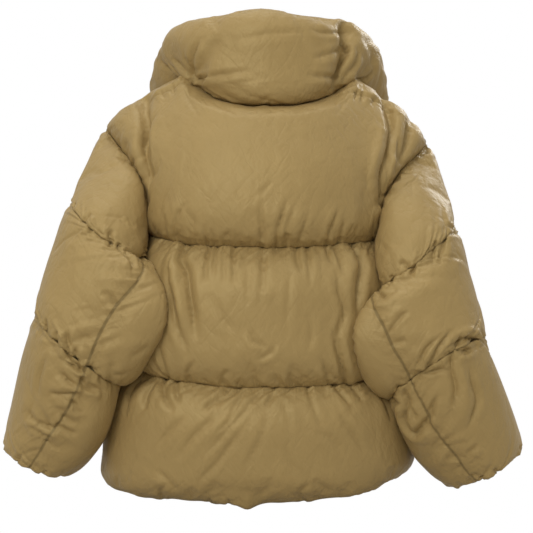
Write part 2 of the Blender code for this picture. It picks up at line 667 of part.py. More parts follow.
def sleeve(side):
    """The sleeve's three quilted lengths, from the armhole down."""
    rings = [armhole_ring(side)] + [sleeve_ring(row) for row in SLEEVE_RINGS[side]]
    made = []
    inward = 1.0 if side == "left" else -1.0
    rows = eased_rows(PANEL_ROWS)
    twists = [0] + [row["twist"] for row in SLEEVE_RINGS[side]]
    parts = zip(("upper", "middle", "lower"), rings, rings[1:], twists, twists[1:],
                SLEEVE_LOBES[side], SEAM_BOWS[side])  # fmt: skip
    for name, upper, lower, twist_above, twist_below, lobe, seam_bow in parts:
        column = np.linspace(0, 2 * math.pi, 2 * ARMHOLE_ROWS, endpoint=False)[None]
        bow = np.radians(seam_bow * np.sin(math.pi * rows))[:, None]
        bowed = column - bow * np.sin(column / 2) ** 2
        twist = np.radians(twist_above + (twist_below - twist_above) * rows)[:, None]
        angle = bowed - twist * np.sin(bowed / 2) ** 2
        over_back = np.maximum(np.cos(angle - math.radians(145)), 0) ** 1.5
        grid = turned_rings(loft(upper, lower, rows), bowed)
        swell = np.sin(math.pi * rows)[:, None] * over_back * lobe
        grid = grid + swell[..., None] * np.array([inward, -0.35, 0])
        outward = grid - grid.mean(axis=1, keepdims=True)
        filling = "cuff" if name == "lower" else "sleeve"
        pinched = np.maximum(-np.cos(column), 0) ** 2 * (1 - rows)[:, None]
        free = 1 - 0.95 * pinched if name == "upper" else 1.0
        seam = 1 - SEAM_DIP * np.maximum(-np.cos(column), 0) ** 24
        plump = (0.75 - 0.3 * np.cos(angle)) * free * seam
        made.append(Panel(f"sleeve_{side}_{name}", grid, filling, outward, True, plump, free))
    return made


def collar():
    """The tall collar, one padded band from front corner to front corner, open at the front."""
    back = smooth_line(NECK_BACK, BACK_COLUMNS - 2 * SHOULDER_COLUMNS + 1)
    fronts = {s: smooth_line(NECK_FRONT[s], FRONT_COLUMNS - SHOULDER_COLUMNS + 1) for s in NECK_FRONT}
    base = np.vstack([fronts["left"][:-1], back, fronts["right"][::-1][1:]])
    top = smooth_line(COLLAR_TOP, len(base))
    grid = loft(base, top, eased_rows(PANEL_ROWS))
    outward = base - np.array([0, 0.03, 0.0])
    return Panel("collar", grid, "collar", outward[None])


def zip_tape(side, fronts, neck):
    """The tape along one front edge, from the hem to the collar's top corner."""
    mine = [p for p in fronts if f"_{side}_" in p.name]
    order = [next(p for p in mine if p.name.endswith(end)) for end in ("lower", "middle", "upper")]
    collar_column = 0 if side == "left" else -1
    edges = [p.grid[:, -1] for p in order] + [neck.grid[:, collar_column]]
    beside = [p.grid[:, -2] for p in order] + [neck.grid[:, 1 if side == "left" else -2]]
    normals = [p.normals[:, -1] for p in order] + [neck.normals[:, collar_column]]
    keep = [slice(0, -1), slice(0, -1), slice(0, None), slice(1, None)]
    edge = np.vstack([line[k] for line, k in zip(edges, keep)])
    inside = np.vstack([line[k] for line, k in zip(beside, keep)])
    normal = unit(np.vstack([line[k] for line, k in zip(normals, keep)]))
    along = unit(np.gradient(edge, axis=0))
    away = unit(edge - inside)
    away = unit(away - along * np.sum(away * along, axis=1, keepdims=True))
    away = unit(away - normal * np.sum(away * normal, axis=1, keepdims=True))
    width = np.full(len(edge), TAPE_WIDTH)
    sign = -1 if side == "left" else 1
    shut = edge[:, 2] < ZIP_TOP[2] + 0.001
    away[shut] = (-sign, 0, 0)
    middle = zip_middle(edge[shut, 2])
    width[shut] = np.abs(edge[shut, 0] - middle) - SEAM_GAP / 2
    near = edge + away * 2 * SEAM_GAP
    far = edge + away * width[:, None]
    face = np.stack([near, far], axis=1)
    lift = normal[:, None] * TAPE_THICK / 2
    return closed_mesh(f"zip_tape_{side}", face + lift, face - lift, False)


def zip_middle(z):
    """x of the closed zip's middle line at some heights."""
    rings = [BODY_RINGS[name] for name in ("hem", "waist", "underarm")]
    levels = [row["z_front"] for row in rings] + [ZIP_TOP[2]]
    return np.interp(z, levels, [row["centre_x"] for row in rings] + [ZIP_TOP[0]])


def boxes_mesh(name, boxes, soften=0.0):
    """Boxes, given as (centre, size), joined to one closed mesh with eased edges."""
    made = []
    for centre, size in boxes:
        shaped = bmesh.new()
        bmesh.ops.create_cube(shaped, size=1)
        bmesh.ops.scale(shaped, vec=Vector(size), verts=shaped.verts)
        bmesh.ops.translate(shaped, vec=Vector(centre), verts=shaped.verts)
        mesh = bpy.data.meshes.new(name)
        shaped.to_mesh(mesh)
        shaped.free()
        made.append(bpy.data.objects.new(name, mesh))
        bpy.context.scene.collection.objects.link(made[-1])
    for other in made[1:]:
        join = made[0].modifiers.new("join", "BOOLEAN")
        join.operation, join.solver, join.object = "UNION", "EXACT", other
    if soften:
        ease = made[0].modifiers.new("ease", "BEVEL")
        ease.width, ease.segments, ease.limit_method = soften, 1, "ANGLE"
    graph = bpy.context.evaluated_depsgraph_get()
    joined = bpy.data.meshes.new_from_object(made[0].evaluated_get(graph))
    for old in made:
        bpy.data.objects.remove(old)
    return joined


def at_slider(mesh):
    """Turns a mesh made in the zip's own directions to the zip's lean and places it there."""
    mesh.transform(Matrix.Translation(Vector(ZIP_TOP)) @ Matrix.Rotation(ZIP_LEAN, 4, "X"))
    return mesh


def pull_axis():
    """Height of the pull's turning axis over the zip, in the zip's own directions."""
    return SLIDER_MOUTH / 2 + SLIDER_PLATE + (BRIDGE_TALL - BRIDGE_BAR) / 2


def zip_slider():
    """Two plates joined by a post at the parting end, with a bridge for the pull in front."""
    plate_y = SLIDER_MOUTH / 2 + SLIDER_PLATE / 2
    front = SLIDER_MOUTH / 2 + SLIDER_PLATE
    leg_z = SLIDER_TALL / 2 - BRIDGE_INSET
    leg_y = front + BRIDGE_TALL / 2 - SUNK
    boxes = [((0, y, 0), (SLIDER_WIDTH, SLIDER_PLATE, SLIDER_TALL)) for y in (plate_y, -plate_y)]
    boxes.append(((0, 0, SLIDER_TALL / 2 - SLIDER_POST), (SLIDER_POST, 2 * plate_y, SLIDER_POST)))
    for z in (leg_z, -leg_z):
        boxes.append(((0, leg_y, z), (BRIDGE_BAR, BRIDGE_TALL, BRIDGE_BAR)))
    top_y = front + BRIDGE_TALL - BRIDGE_BAR / 2 - SUNK
    top_bar = BRIDGE_BAR * BAR_TRIM
    boxes.append(((0, top_y, 0), (top_bar, top_bar, 2 * leg_z + BRIDGE_BAR / 2)))
    return boxes_mesh("zip_slider", boxes)


def zip_pull():
    """A tab that hangs by its eye from the slider's bridge; its axis is its eye's upper bar."""
    wide, tall = PULL_EYE
    bar = PULL_BAR
    eye_top = bar / 2
    boxes = [((0, 0, 0), (wide + 2 * bar, bar, bar))]
    for x in (-(wide + bar) / 2, (wide + bar) / 2):
        boxes.append(((x, 0, eye_top - (tall + 2 * bar) / 2), (bar, bar * BAR_TRIM, tall + 2 * bar)))
    tab_top = -bar / 2 - tall
    tab = PULL_LENGTH - tall
    boxes.append(((0, 0, tab_top - tab / 2), (PULL_WIDTH, bar * TAB_SHARE, tab)))
    return boxes_mesh("zip_pull", boxes, PULL_EASE)


def add_object(collection, name, mesh, finish):
    """Links a finished piece to the jacket's collection."""
    made = bpy.data.objects.new(name, mesh)
    mesh.materials.append(finish)
    for polygon in mesh.polygons:
        polygon.use_smooth = True
    collection.objects.link(made)
    return made


def main():
    """Cuts, fills and places every piece of the jacket."""
    for old in list(bpy.data.objects):
        bpy.data.objects.remove(old)
    collection = bpy.data.collections.new("down_jacket")
    bpy.context.scene.collection.children.link(collection)
    shell = material("shell_cloth", KHAKI, 0.55)

    back = [upper_back(),
            body_band("back_middle", "waist", "underarm", "body"),
            body_band("back_lower", "hem", "waist", "hem")]  # fmt: skip
    fronts = []
    for side in ("left", "right"):
        fronts.append(upper_front(side))
        for name, lower, upper, filling in (("middle", "waist", "underarm", "body"),
                                            ("lower", "hem", "waist", "hem")):  # fmt: skip
            fronts.append(body_band(f"front_{side}_{name}", lower, upper, filling, side))
    sleeves = sleeve("left") + sleeve("right")
    neck = collar()
    everything = back + fronts + sleeves + [neck]
    settle_seams(everything)
    body_tree = face_tree(back + fronts)
    sleeve_off_body(sleeves[:3], body_tree)
    sleeve_off_body(sleeves[3:], body_tree)
    collar_off_shoulders(neck, body_tree)
    settle_seams(everything)
    for panel in everything:
        inset_edges(panel)
    flatten_contacts(everything)
    for panel in everything:
        outer, inner = faces_of(panel)
        add_object(collection, panel.name, closed_mesh(panel.name, outer, inner, panel.tube), shell)

    tape = material("zip_tape", TAPE_KHAKI, 0.8)
    metal = material("zip_metal", METAL, 0.35, metallic=1.0)
    for side in ("left", "right"):
        add_object(collection, f"zip_tape_{side}", zip_tape(side, fronts, neck), tape)
    add_object(collection, "zip_slider", at_slider(zip_slider()), metal)
    lean = Matrix.Rotation(ZIP_LEAN, 3, "X")
    hinge = Vector(ZIP_TOP) + lean @ Vector((0, pull_axis(), 0))
    pull = add_object(collection, "zip_pull", zip_pull(), metal)
    pull.location = hinge


main()
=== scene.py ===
import math
from types import SimpleNamespace

import bmesh
import bpy
import numpy as np
from mathutils import Matrix, Vector
from mathutils.bvhtree import BVHTree


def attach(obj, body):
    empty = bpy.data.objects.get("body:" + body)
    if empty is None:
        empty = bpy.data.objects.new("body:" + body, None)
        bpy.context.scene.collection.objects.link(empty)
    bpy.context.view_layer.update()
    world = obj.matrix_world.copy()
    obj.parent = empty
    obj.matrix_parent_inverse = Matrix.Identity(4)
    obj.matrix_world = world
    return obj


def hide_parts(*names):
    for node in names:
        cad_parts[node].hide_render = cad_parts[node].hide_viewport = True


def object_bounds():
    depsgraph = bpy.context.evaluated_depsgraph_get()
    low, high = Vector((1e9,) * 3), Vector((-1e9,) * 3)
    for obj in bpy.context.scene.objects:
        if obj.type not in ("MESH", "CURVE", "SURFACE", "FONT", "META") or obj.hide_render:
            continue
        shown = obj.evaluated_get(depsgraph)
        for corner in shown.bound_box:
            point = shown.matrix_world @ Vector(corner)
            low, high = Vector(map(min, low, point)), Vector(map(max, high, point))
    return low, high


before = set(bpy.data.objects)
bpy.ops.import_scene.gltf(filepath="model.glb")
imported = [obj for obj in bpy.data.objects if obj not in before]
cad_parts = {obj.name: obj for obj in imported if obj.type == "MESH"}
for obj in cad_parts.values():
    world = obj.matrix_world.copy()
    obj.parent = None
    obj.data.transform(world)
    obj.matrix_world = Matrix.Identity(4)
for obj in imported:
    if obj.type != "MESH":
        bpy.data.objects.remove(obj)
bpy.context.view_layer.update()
scene = bpy.context.scene
print("stage: frame loaded")

# How finely each length of cloth is divided, in intervals.
cells = dict(back=120, front=60, band=40, armhole=50, closed=20, shoulder=30)
neckCells = cells["back"] - 2 * cells["shoulder"]

seam = dict(half=0.0015, gap=0.0004, mitreReach=0.05, leastUpright=0.2)
contact = dict(gap=0.006, pushReach=0.03, axisX=-0.006, axisY=0.0)
zipLine = dict(half=0.0065, top=(0.0, 0.122, -0.150), lean=math.radians(4.5))

bodyRings = {
    "underarm": dict(centreX=-0.003, centreY=-0.022, halfWidth=0.179, back=0.117, front=0.147,
                     zLeft=-0.203, zRight=-0.207, zBack=-0.222, zFront=-0.232, squareness=2.3),
    "waist": dict(centreX=-0.010, centreY=-0.015, halfWidth=0.211, back=0.137, front=0.150,
                  zLeft=-0.405, zRight=-0.418, zBack=-0.430, zFront=-0.430, squareness=2.2),
    "hem": dict(centreX=-0.014, centreY=-0.010, halfWidth=0.222, back=0.135, front=0.133,
                zLeft=-0.597, zRight=-0.574, zBack=-0.603, zFront=-0.594, squareness=2.4),
}
neckBack = [(-0.120, -0.008, 0.051), (-0.085, -0.060, 0.016), (-0.045, -0.082, -0.001),
            (0.002, -0.088, -0.004), (0.050, -0.082, -0.001), (0.090, -0.059, 0.014),
            (0.125, -0.008, 0.047)]
shoulderLines = {
    "left": [(-0.255, 0.002, -0.031), (-0.230, 0.000, -0.010), (-0.190, -0.002, 0.018),
             (-0.156, -0.005, 0.036), (-0.120, -0.008, 0.051)],
    "right": [(0.255, 0.002, -0.057), (0.232, 0.000, -0.026), (0.196, -0.002, 0.007),
              (0.160, -0.005, 0.029), (0.125, -0.008, 0.047)],
}
armholeBack = {
    "left": [(-0.182, -0.022, -0.203), (-0.184, -0.048, -0.184), (-0.186, -0.070, -0.146),
             (-0.197, -0.070, -0.108), (-0.220, -0.046, -0.076), (-0.255, 0.002, -0.031)],
    "right": [(0.176, -0.022, -0.207), (0.177, -0.048, -0.188), (0.179, -0.070, -0.155),
              (0.192, -0.070, -0.126), (0.216, -0.046, -0.096), (0.255, 0.002, -0.057)],
}
armholeFront = {
    "left": [(-0.182, -0.022, -0.203), (-0.183, 0.006, -0.186), (-0.184, 0.032, -0.150),
             (-0.194, 0.046, -0.110), (-0.218, 0.036, -0.074), (-0.255, 0.002, -0.031)],
    "right": [(0.176, -0.022, -0.207), (0.177, 0.006, -0.190), (0.179, 0.032, -0.156),
              (0.190, 0.046, -0.124), (0.214, 0.036, -0.094), (0.255, 0.002, -0.057)],
}
neckFront = {
    "left": [(-0.045, 0.112, -0.072), (-0.082, 0.090, -0.030), (-0.110, 0.048, 0.020),
             (-0.120, -0.008, 0.051)],
    "right": [(0.045, 0.112, -0.074), (0.084, 0.090, -0.032), (0.114, 0.048, 0.016),
              (0.125, -0.008, 0.047)],
}
sleeveRings = {
    "left": [
        dict(centre=(-0.242, -0.080, -0.194), out=(-0.056, 0.041), depth=0.072, drop=0.016, twist=30),
        dict(centre=(-0.286, -0.104, -0.376), out=(-0.062, 0.053), depth=0.074, drop=0.004, twist=72),
        dict(centre=(-0.356, -0.070, -0.545), out=(-0.044, 0.021), depth=0.064, drop=0.008, twist=90),
    ],
    "right": [
        dict(centre=(0.225, -0.082, -0.236), out=(0.061, 0.050), depth=0.072, drop=0.010, twist=30),
        dict(centre=(0.257, -0.106, -0.410), out=(0.071, 0.045), depth=0.074, drop=-0.026, twist=52),
        dict(centre=(0.339, -0.074, -0.555), out=(0.050, 0.027), depth=0.064, drop=0.008, twist=66),
    ],
}
sleeveLobes = {"left": (0.004, 0.060, 0.014), "right": (0.014, 0.050, 0.010)}
seamBows = {"left": (0, 30, 0), "right": (0, 24, 0)}  # degrees the underarm seam bows to the back
collarTop = [(-0.150, 0.180, -0.040), (-0.184, 0.135, -0.004), (-0.190, 0.085, 0.046),
             (-0.172, 0.035, 0.092), (-0.141, -0.012, 0.130), (-0.086, -0.056, 0.139),
             (-0.010, -0.082, 0.146), (0.060, -0.064, 0.139), (0.122, -0.018, 0.137),
             (0.171, 0.031, 0.105), (0.199, 0.082, 0.038), (0.196, 0.135, -0.008),
             (0.150, 0.180, -0.044)]

# Height of the filling over the seam-level cloth, and how far it takes to round up from each edge.
filling = {
    "backUpper": dict(outer=0.030, inner=0.010, bottom=0.050, top=0.040, sides=0.036),
    "band": dict(outer=0.030, inner=0.010, bottom=0.060, top=0.080, sides=0.040),
    "hem": dict(outer=0.028, inner=0.010, bottom=0.034, top=0.070, sides=0.040),
    "frontUpper": dict(outer=0.024, inner=0.008, bottom=0.050, top=0.050, sides=0.045),
    "sleeve": dict(outer=0.014, inner=0.008, bottom=0.045, top=0.045, sides=1.0),
    "cuff": dict(outer=0.014, inner=0.008, bottom=0.100, top=0.045, sides=1.0),
    "collar": dict(outer=0.028, inner=0.022, bottom=0.030, top=0.045, sides=0.030),
}

# Deep folds: start and end are (height, width) shares of the panel.
folds = {
    "back_upper": [
        dict(start=(0.93, 0.135), end=(0.42, 0.085), depth=0.55, width=0.013),
        dict(start=(0.97, 0.845), end=(0.25, 0.945), depth=0.60, width=0.013),
        dict(start=(0.96, 0.925), end=(0.62, 0.955), depth=0.45, width=0.010),
    ],
    "collar": [
        dict(start=(0.16, 0.335), end=(0.66, 0.420), depth=0.65, width=0.013, fade=0.8),
        dict(start=(0.30, 0.345), end=(0.62, 0.300), depth=0.45, width=0.013, fade=0.7),
        dict(start=(0.02, 0.340), end=(0.02, 0.420), depth=0.60, width=0.022, fade=0.5),
        dict(start=(0.20, 0.650), end=(0.74, 0.645), depth=0.65, width=0.013),
        dict(start=(0.74, 0.645), end=(0.90, 0.600), depth=0.55, width=0.012, fade=0.6),
        dict(start=(0.02, 0.665), end=(0.02, 0.625), depth=0.55, width=0.020, fade=0.5),
        dict(start=(0.25, 0.265), end=(0.62, 0.250), depth=0.35, width=0.014, fade=0.5),
        dict(start=(0.20, 0.725), end=(0.50, 0.730), depth=0.35, width=0.014, fade=0.5),
    ],
    "front_left_upper": [dict(start=(0.90, 0.20), end=(0.35, 0.12), depth=0.50, width=0.013)],
    "front_right_upper": [dict(start=(0.92, 0.22), end=(0.40, 0.12), depth=0.50, width=0.013)],
}


def unit(vectors):
    return vectors / np.maximum(np.linalg.norm(vectors, axis=-1, keepdims=True), 1e-12)


def smoothLine(points, count):  # evenly spaced points on a smooth curve through the given ones
    given = np.array(points, float)
    padded = np.vstack([2 * given[0] - given[1], given, 2 * given[-1] - given[-2]])
    fine = []
    for p0, p1, p2, p3 in zip(padded, padded[1:], padded[2:], padded[3:]):
        t = np.linspace(0, 1, 60, endpoint=False)[:, None]
        fine.append(0.5 * (2 * p1 + (p2 - p0) * t + (2 * p0 - 5 * p1 + 4 * p2 - p3) * t**2
                           + (3 * p1 - p0 - 3 * p2 + p3) * t**3))
    fine = np.vstack(fine + [given[-1:]])
    along = np.concatenate([[0], np.cumsum(np.linalg.norm(np.diff(fine, axis=0), axis=1))])
    wanted = np.linspace(0, along[-1], count)
    return np.stack([np.interp(wanted, along, fine[:, k]) for k in range(3)], axis=1)


def bodyRing(row, degrees):  # 0 is the right side, 90 the front, 180 the left, 270 the back
    angle = np.radians(np.asarray(degrees, float))
    c, s = np.cos(angle), np.sin(angle)
    power = 2 / row["squareness"]
    depth = np.where(s > 0, row["front"], row["back"])
    zMiddle = np.where(s > 0, row["zFront"], row["zBack"])
    zSide = np.where(c > 0, row["zRight"], row["zLeft"])
    x = row["centreX"] + row["halfWidth"] * np.sign(c) * np.abs(c) ** power
    y = row["centreY"] + depth * np.sign(s) * np.abs(s) ** power
    return np.stack([x, y, zSide + (zMiddle - zSide) * s**2], axis=1)


def frontRing(name, side):
    row = bodyRings[name]
    last = math.degrees(math.acos((zipLine["half"] / row["halfWidth"]) ** (row["squareness"] / 2)))
    degrees = np.linspace(0, last, cells["front"] + 1)
    return bodyRing(row, 180 - degrees if side == "left" else degrees)


def backRing(name):
    return bodyRing(bodyRings[name], np.linspace(180, 360, cells["back"] + 1))


def easedRows(count):
    t = np.linspace(0, 1, count + 1)
    return 0.55 * t + 0.45 * (0.5 - 0.5 * np.cos(math.pi * t))


def loft(lower, upper, rows):
    return lower[None] * (1 - rows[:, None, None]) + upper[None] * rows[:, None, None]


def sidePatch(bottom, top, left, right, fall=3.0):
    u = np.linspace(0, 1, len(bottom))[None, :, None]
    v = np.linspace(0, 1, len(left))[:, None, None]
    across = (1 - v) * bottom[None] + v * top[None]
    leftBend = left[:, None] - ((1 - v) * bottom[0] + v * top[0])
    rightBend = right[:, None] - ((1 - v) * bottom[-1] + v * top[-1])
    return across + (1 - u) ** fall * leftBend + u**fall * rightBend


def easeAcross(grid, passes=60, reach=0.03):  # smooths kinks that an edge's corners send down
    walked = np.linalg.norm(grid - grid[-1:], axis=2)
    soft = 0.5 * np.clip(walked / reach, 0, 1)[1:-1, 1:-1, None]
    for _ in range(passes):
        middle = (grid[1:-1, :-2] + grid[1:-1, 2:]) / 2
        grid[1:-1, 1:-1] += soft * (middle - grid[1:-1, 1:-1])
    return grid


def rise(distance, reach, power=0.5):
    return (1 - (1 - np.clip(distance / reach, 0, 1)) ** 2) ** power


# ---- panels: a seam-level grid, its normals, and the height of the filling on both sides

def distances(panel, axis):
    steps = np.linalg.norm(np.diff(panel.grid, axis=axis), axis=2)
    zero = np.zeros_like(np.take(steps, [0], axis))
    walked = np.cumsum(np.concatenate([zero, steps], axis), axis)
    return walked, np.take(walked, [-1], axis) - walked


def placeOn(grid, v, u):
    rows, columns = grid.shape[:2]
    return grid[round(v * (rows - 1)), round(u * (columns - 1))]


def foldShare(grid, start, end, depth, width, fade=0.0):
    first, last = placeOn(grid, *start), placeOn(grid, *end)
    line = last - first
    along = np.clip((grid - first) @ line / (line @ line), 0, 1)
    away = np.linalg.norm(grid - first - along[..., None] * line, axis=2)
    return 1 - depth * (1 - fade * along) * np.exp(-((away / width) ** 2))


sewnBelow = [f"{name}_{level}" for level in ("upper", "middle") for name in (
    "back", "front_left", "front_right", "sleeve_left", "sleeve_right")]


def shape(panel):
    if panel.tube:
        along = np.roll(panel.grid, -1, 1) - np.roll(panel.grid, 1, 1)
    else:
        along = np.gradient(panel.grid, axis=1)
    normals = unit(np.cross(along, np.gradient(panel.grid, axis=0)))
    panel.turn = 1 if np.sum(normals * panel.outward) > 0 else -1
    panel.normals = normals * panel.turn
    fill = panel.fill
    low, high = distances(panel, 0)
    above, below = (low, fill["bottom"]), (high, fill["top"])
    if panel.tube:
        above, below = below, above
    hanging = panel.name.endswith(("middle", "lower"))  # slopes away from the seam it hangs from
    share = rise(*above, power=0.6 if panel.name in sewnBelow else 0.5)
    share = share * rise(*below, power=0.9 if hanging else 0.5)
    if not panel.tube:
        first, last = distances(panel, 1)
        share = share * rise(first, fill["sides"]) * rise(last, fill["sides"])
    panel.outer = fill["outer"] * share * panel.plump
    panel.inner = fill["inner"] * share * panel.padded


def makePanel(name, grid, fill, outward, tube=False, plump=1.0, padded=1.0):
    panel = SimpleNamespace(name=name, grid=grid, tube=tube, fill=filling[fill], plump=plump,
                            padded=padded, outward=outward)
    for fold in folds.get(name, ()):
        panel.plump = panel.plump * foldShare(grid, **fold)
    shape(panel)
    return panel


def edgePoints(panel):
    rows, columns = panel.grid.shape[:2]
    ends = [(i, j) for i in (0, rows - 1) for j in range(columns)]
    sides = [] if panel.tube else [(i, j) for i in range(1, rows - 1) for j in (0, columns - 1)]
    return ends + sides


def shareSeamNormals(panels):  # panels that meet at a seam get one normal there, so their ends mitre
    groups = {}
    for panel in panels:
        group = {"sleeve": "sleeve", "collar": "collar"}.get(panel.name.split("_")[0], "body")
        for i, j in edgePoints(panel):
            sums = groups.setdefault(tuple(np.round(panel.grid[i, j], 5)), {})
            sums[group] = sums.get(group, 0) + panel.normals[i, j]
    shared = {key: unit(sum(unit(n) for n in sums.values())) for key, sums in groups.items()}
    for panel in panels:
        for i, j in edgePoints(panel):
            panel.normals[i, j] = shared[tuple(np.round(panel.grid[i, j], 5))]


def mitreLimit(panel):  # keeps both faces on their own side of each seam's mitre plane
    edges = [(0, 0, 1), (0, -1, -2)] + ([] if panel.tube else [(1, 0, 1), (1, -1, -2)])
    for axis, edge, beside in edges:
        walked = distances(panel, axis)[0 if edge == 0 else 1]
        shared = np.take(panel.normals, [edge], axis)
        own = np.take(panel.normals, [beside], axis)
        inward = unit(np.take(panel.grid, [beside], axis) - np.take(panel.grid, [edge], axis))
        upright = np.maximum(np.sum(shared * own, axis=2), seam["leastUpright"])
        lean = np.sum(shared * inward, axis=2)
        for sign, face in ((1, "outer"), (-1, "inner")):
            tilt = np.maximum(sign * lean, 1e-6)
            highest = np.maximum((walked * upright - seam["gap"]) / tilt - seam["half"], 0)
            highest = np.where(walked > seam["mitreReach"], 1.0, highest)
            setattr(panel, face, np.minimum(getattr(panel, face), highest))


def settleSeams(panels):
    for panel in panels:
        shape(panel)
    shareSeamNormals(panels)
    for panel in panels:
        mitreLimit(panel)


def facesOf(panel):
    outer = panel.grid + panel.normals * (seam["half"] + panel.outer)[..., None]
    inner = panel.grid - panel.normals * (seam["half"] + panel.inner)[..., None]
    return outer, inner


def gridQuads(rows, columns, tube, start=0):
    i, j = np.mgrid[0:rows - 1, 0:columns if tube else columns - 1]
    across = (j + 1) % columns
    quads = np.stack([i * columns + j, i * columns + across,
                      (i + 1) * columns + across, (i + 1) * columns + j], axis=-1)
    return start + quads.reshape(-1, 4)


def faceTree(panels):
    points, polygons, count = [], [], 0
    for panel in panels:
        outer = facesOf(panel)[0]
        quads = gridQuads(*outer.shape[:2], panel.tube, count)
        polygons += (quads if panel.turn > 0 else quads[:, ::-1]).tolist()
        points += outer.reshape(-1, 3).tolist()
        count = len(points)
    return BVHTree.FromPolygons(points, polygons)


def smoothPush(push, tube, times=8):
    for _ in range(times):
        left, right = np.roll(push, 1, 1), np.roll(push, -1, 1)
        if not tube:
            left[:, 0], right[:, -1] = push[:, 0], push[:, -1]
        above = np.vstack([push[:1], push[:-1]])
        below = np.vstack([push[1:], push[-1:]])
        push = np.maximum(push, (left + right + above + below) / 4)
    return push


def sleeveOffBody(parts, tree):  # dents a sleeve where it lies against the body
    keep = [slice(0, None)] + [slice(1, None)] * (len(parts) - 1)
    outer = np.vstack([facesOf(part)[0][k] for part, k in zip(parts, keep)])
    axis = np.stack([np.full(outer.shape[:2], contact["axisX"]),
                     np.full(outer.shape[:2], contact["axisY"]), outer[..., 2]], axis=-1)
    away = unit(outer - axis)
    push = np.zeros(outer.shape[:2])
    for i, j in np.ndindex(*push.shape):
        hit, _, _, distance = tree.ray_cast(Vector(axis[i, j]), Vector(away[i, j]))
        if hit is not None:
            wanted = distance + contact["gap"]
            push[i, j] = max(0.0, wanted - np.linalg.norm(outer[i, j] - axis[i, j]))
    push = smoothPush(push, True)
    walked = distances(parts[0], 0)[0]
    push[:len(walked)] *= np.clip(walked / contact["pushReach"], 0, 1)
    first = 0
    for part in parts:
        rows = slice(first, first + len(part.grid))
        part.grid = part.grid + away[rows] * push[rows, :, None]
        first += len(part.grid) - 1


def collarOffShoulders(panel, tree):  # lifts the collar where it lies on the shoulders and front
    push = np.zeros(panel.grid.shape[:2])
    for face in facesOf(panel):
        for i, j in np.ndindex(*push.shape):
            hit = tree.ray_cast(Vector((face[i, j, 0], face[i, j, 1], 0.4)), Vector((0, 0, -1)))[0]
            if hit is not None and hit.z - face[i, j, 2] < 0.08:
                push[i, j] = max(push[i, j], hit.z + contact["gap"] - face[i, j, 2])
    walked = distances(panel, 0)[0]
    panel.grid[..., 2] += smoothPush(push, False) * np.clip(walked / contact["pushReach"], 0, 1)


# ---- the cut of each piece

thinUnderArm = dict(share=0.3, reach=0.11)


def thinSides(grid, bothSides):
    walked = np.concatenate([[0], np.cumsum(np.linalg.norm(np.diff(grid[0], axis=0), axis=1))])
    if bothSides:
        walked = np.minimum(walked, walked[-1] - walked)
    least = thinUnderArm["share"]
    return (least + (1 - least) * np.clip(walked / thinUnderArm["reach"], 0, 1) ** 1.5)[None]


def upperBack():
    left = smoothLine(armholeBack["left"], cells["armhole"] + 1)
    right = smoothLine(armholeBack["right"], cells["armhole"] + 1)
    neck = smoothLine(neckBack, neckCells + 1)
    lines = {side: smoothLine(shoulderLines[side], cells["shoulder"] + 1) for side in shoulderLines}
    top = np.vstack([lines["left"][:-1], neck, lines["right"][::-1][1:]])
    grid = easeAcross(sidePatch(backRing("underarm"), top, left, right))
    low = np.linspace(1, 0, len(left))[:, None]
    plump = 1 - (1 - thinSides(grid, True)) * low
    return makePanel("back_upper", grid, "backUpper", (0, -1, 0), plump=plump)


def zipEdgeTop(side):
    ring = frontRing("underarm", side)[-1]
    sign = -1 if side == "left" else 1
    parting = np.array(zipLine["top"]) + [sign * zipLine["half"], 0, 0]
    closed = np.linspace(ring, parting, cells["closed"] + 1)
    opened = smoothLine([parting, neckFront[side][0]], cells["armhole"] - cells["closed"] + 1)
    return np.vstack([closed, opened[1:]])


def upperFront(side):
    arm = smoothLine(armholeFront[side], cells["armhole"] + 1)
    shoulder = smoothLine(shoulderLines[side], cells["shoulder"] + 1)
    neck = smoothLine(neckFront[side], cells["front"] - cells["shoulder"] + 1)[::-1]
    top = np.vstack([shoulder[:-1], neck])
    grid = easeAcross(sidePatch(frontRing("underarm", side), top, arm, zipEdgeTop(side)))
    low = np.linspace(1, 0, len(arm))[:, None]
    plump = 1 - (1 - thinSides(grid, False)) * low
    return makePanel(f"front_{side}_upper", grid, "frontUpper", (0, 1, 0), plump=plump)


def bodyBand(name, lower, upper, fill, side=None):
    lines = [frontRing(ring, side) if side else backRing(ring) for ring in (lower, upper)]
    grid = loft(*lines, easedRows(cells["band"]))
    plump = thinSides(grid, not side) if fill == "band" else 1.0
    return makePanel(name, grid, fill, (0, 1, 0) if side else (0, -1, 0), plump=plump)


def sleeveRing(row):  # from the outer edge over the back, the inner edge and the front
    angle = np.linspace(0, 2 * math.pi, 2 * cells["armhole"], endpoint=False)
    angle = angle - math.radians(row["twist"]) * np.sin(angle / 2) ** 2
    ring = np.array(row["centre"]) + np.cos(angle)[:, None] * [row["out"][0], 0, row["out"][1]]
    ring[:, 1] -= row["depth"] * np.sin(angle)
    ring[:, 2] -= row["drop"] * np.sin(angle)
    return ring


def turnedRings(grid, angles):  # the points at some angles round each ring of a tube
    count = grid.shape[1]
    place = angles / (2 * math.pi) * count
    before = np.floor(place).astype(int)
    share = (place - before)[..., None]
    ring = np.arange(len(grid))[:, None]
    return grid[ring, before % count] * (1 - share) + grid[ring, (before + 1) % count] * share


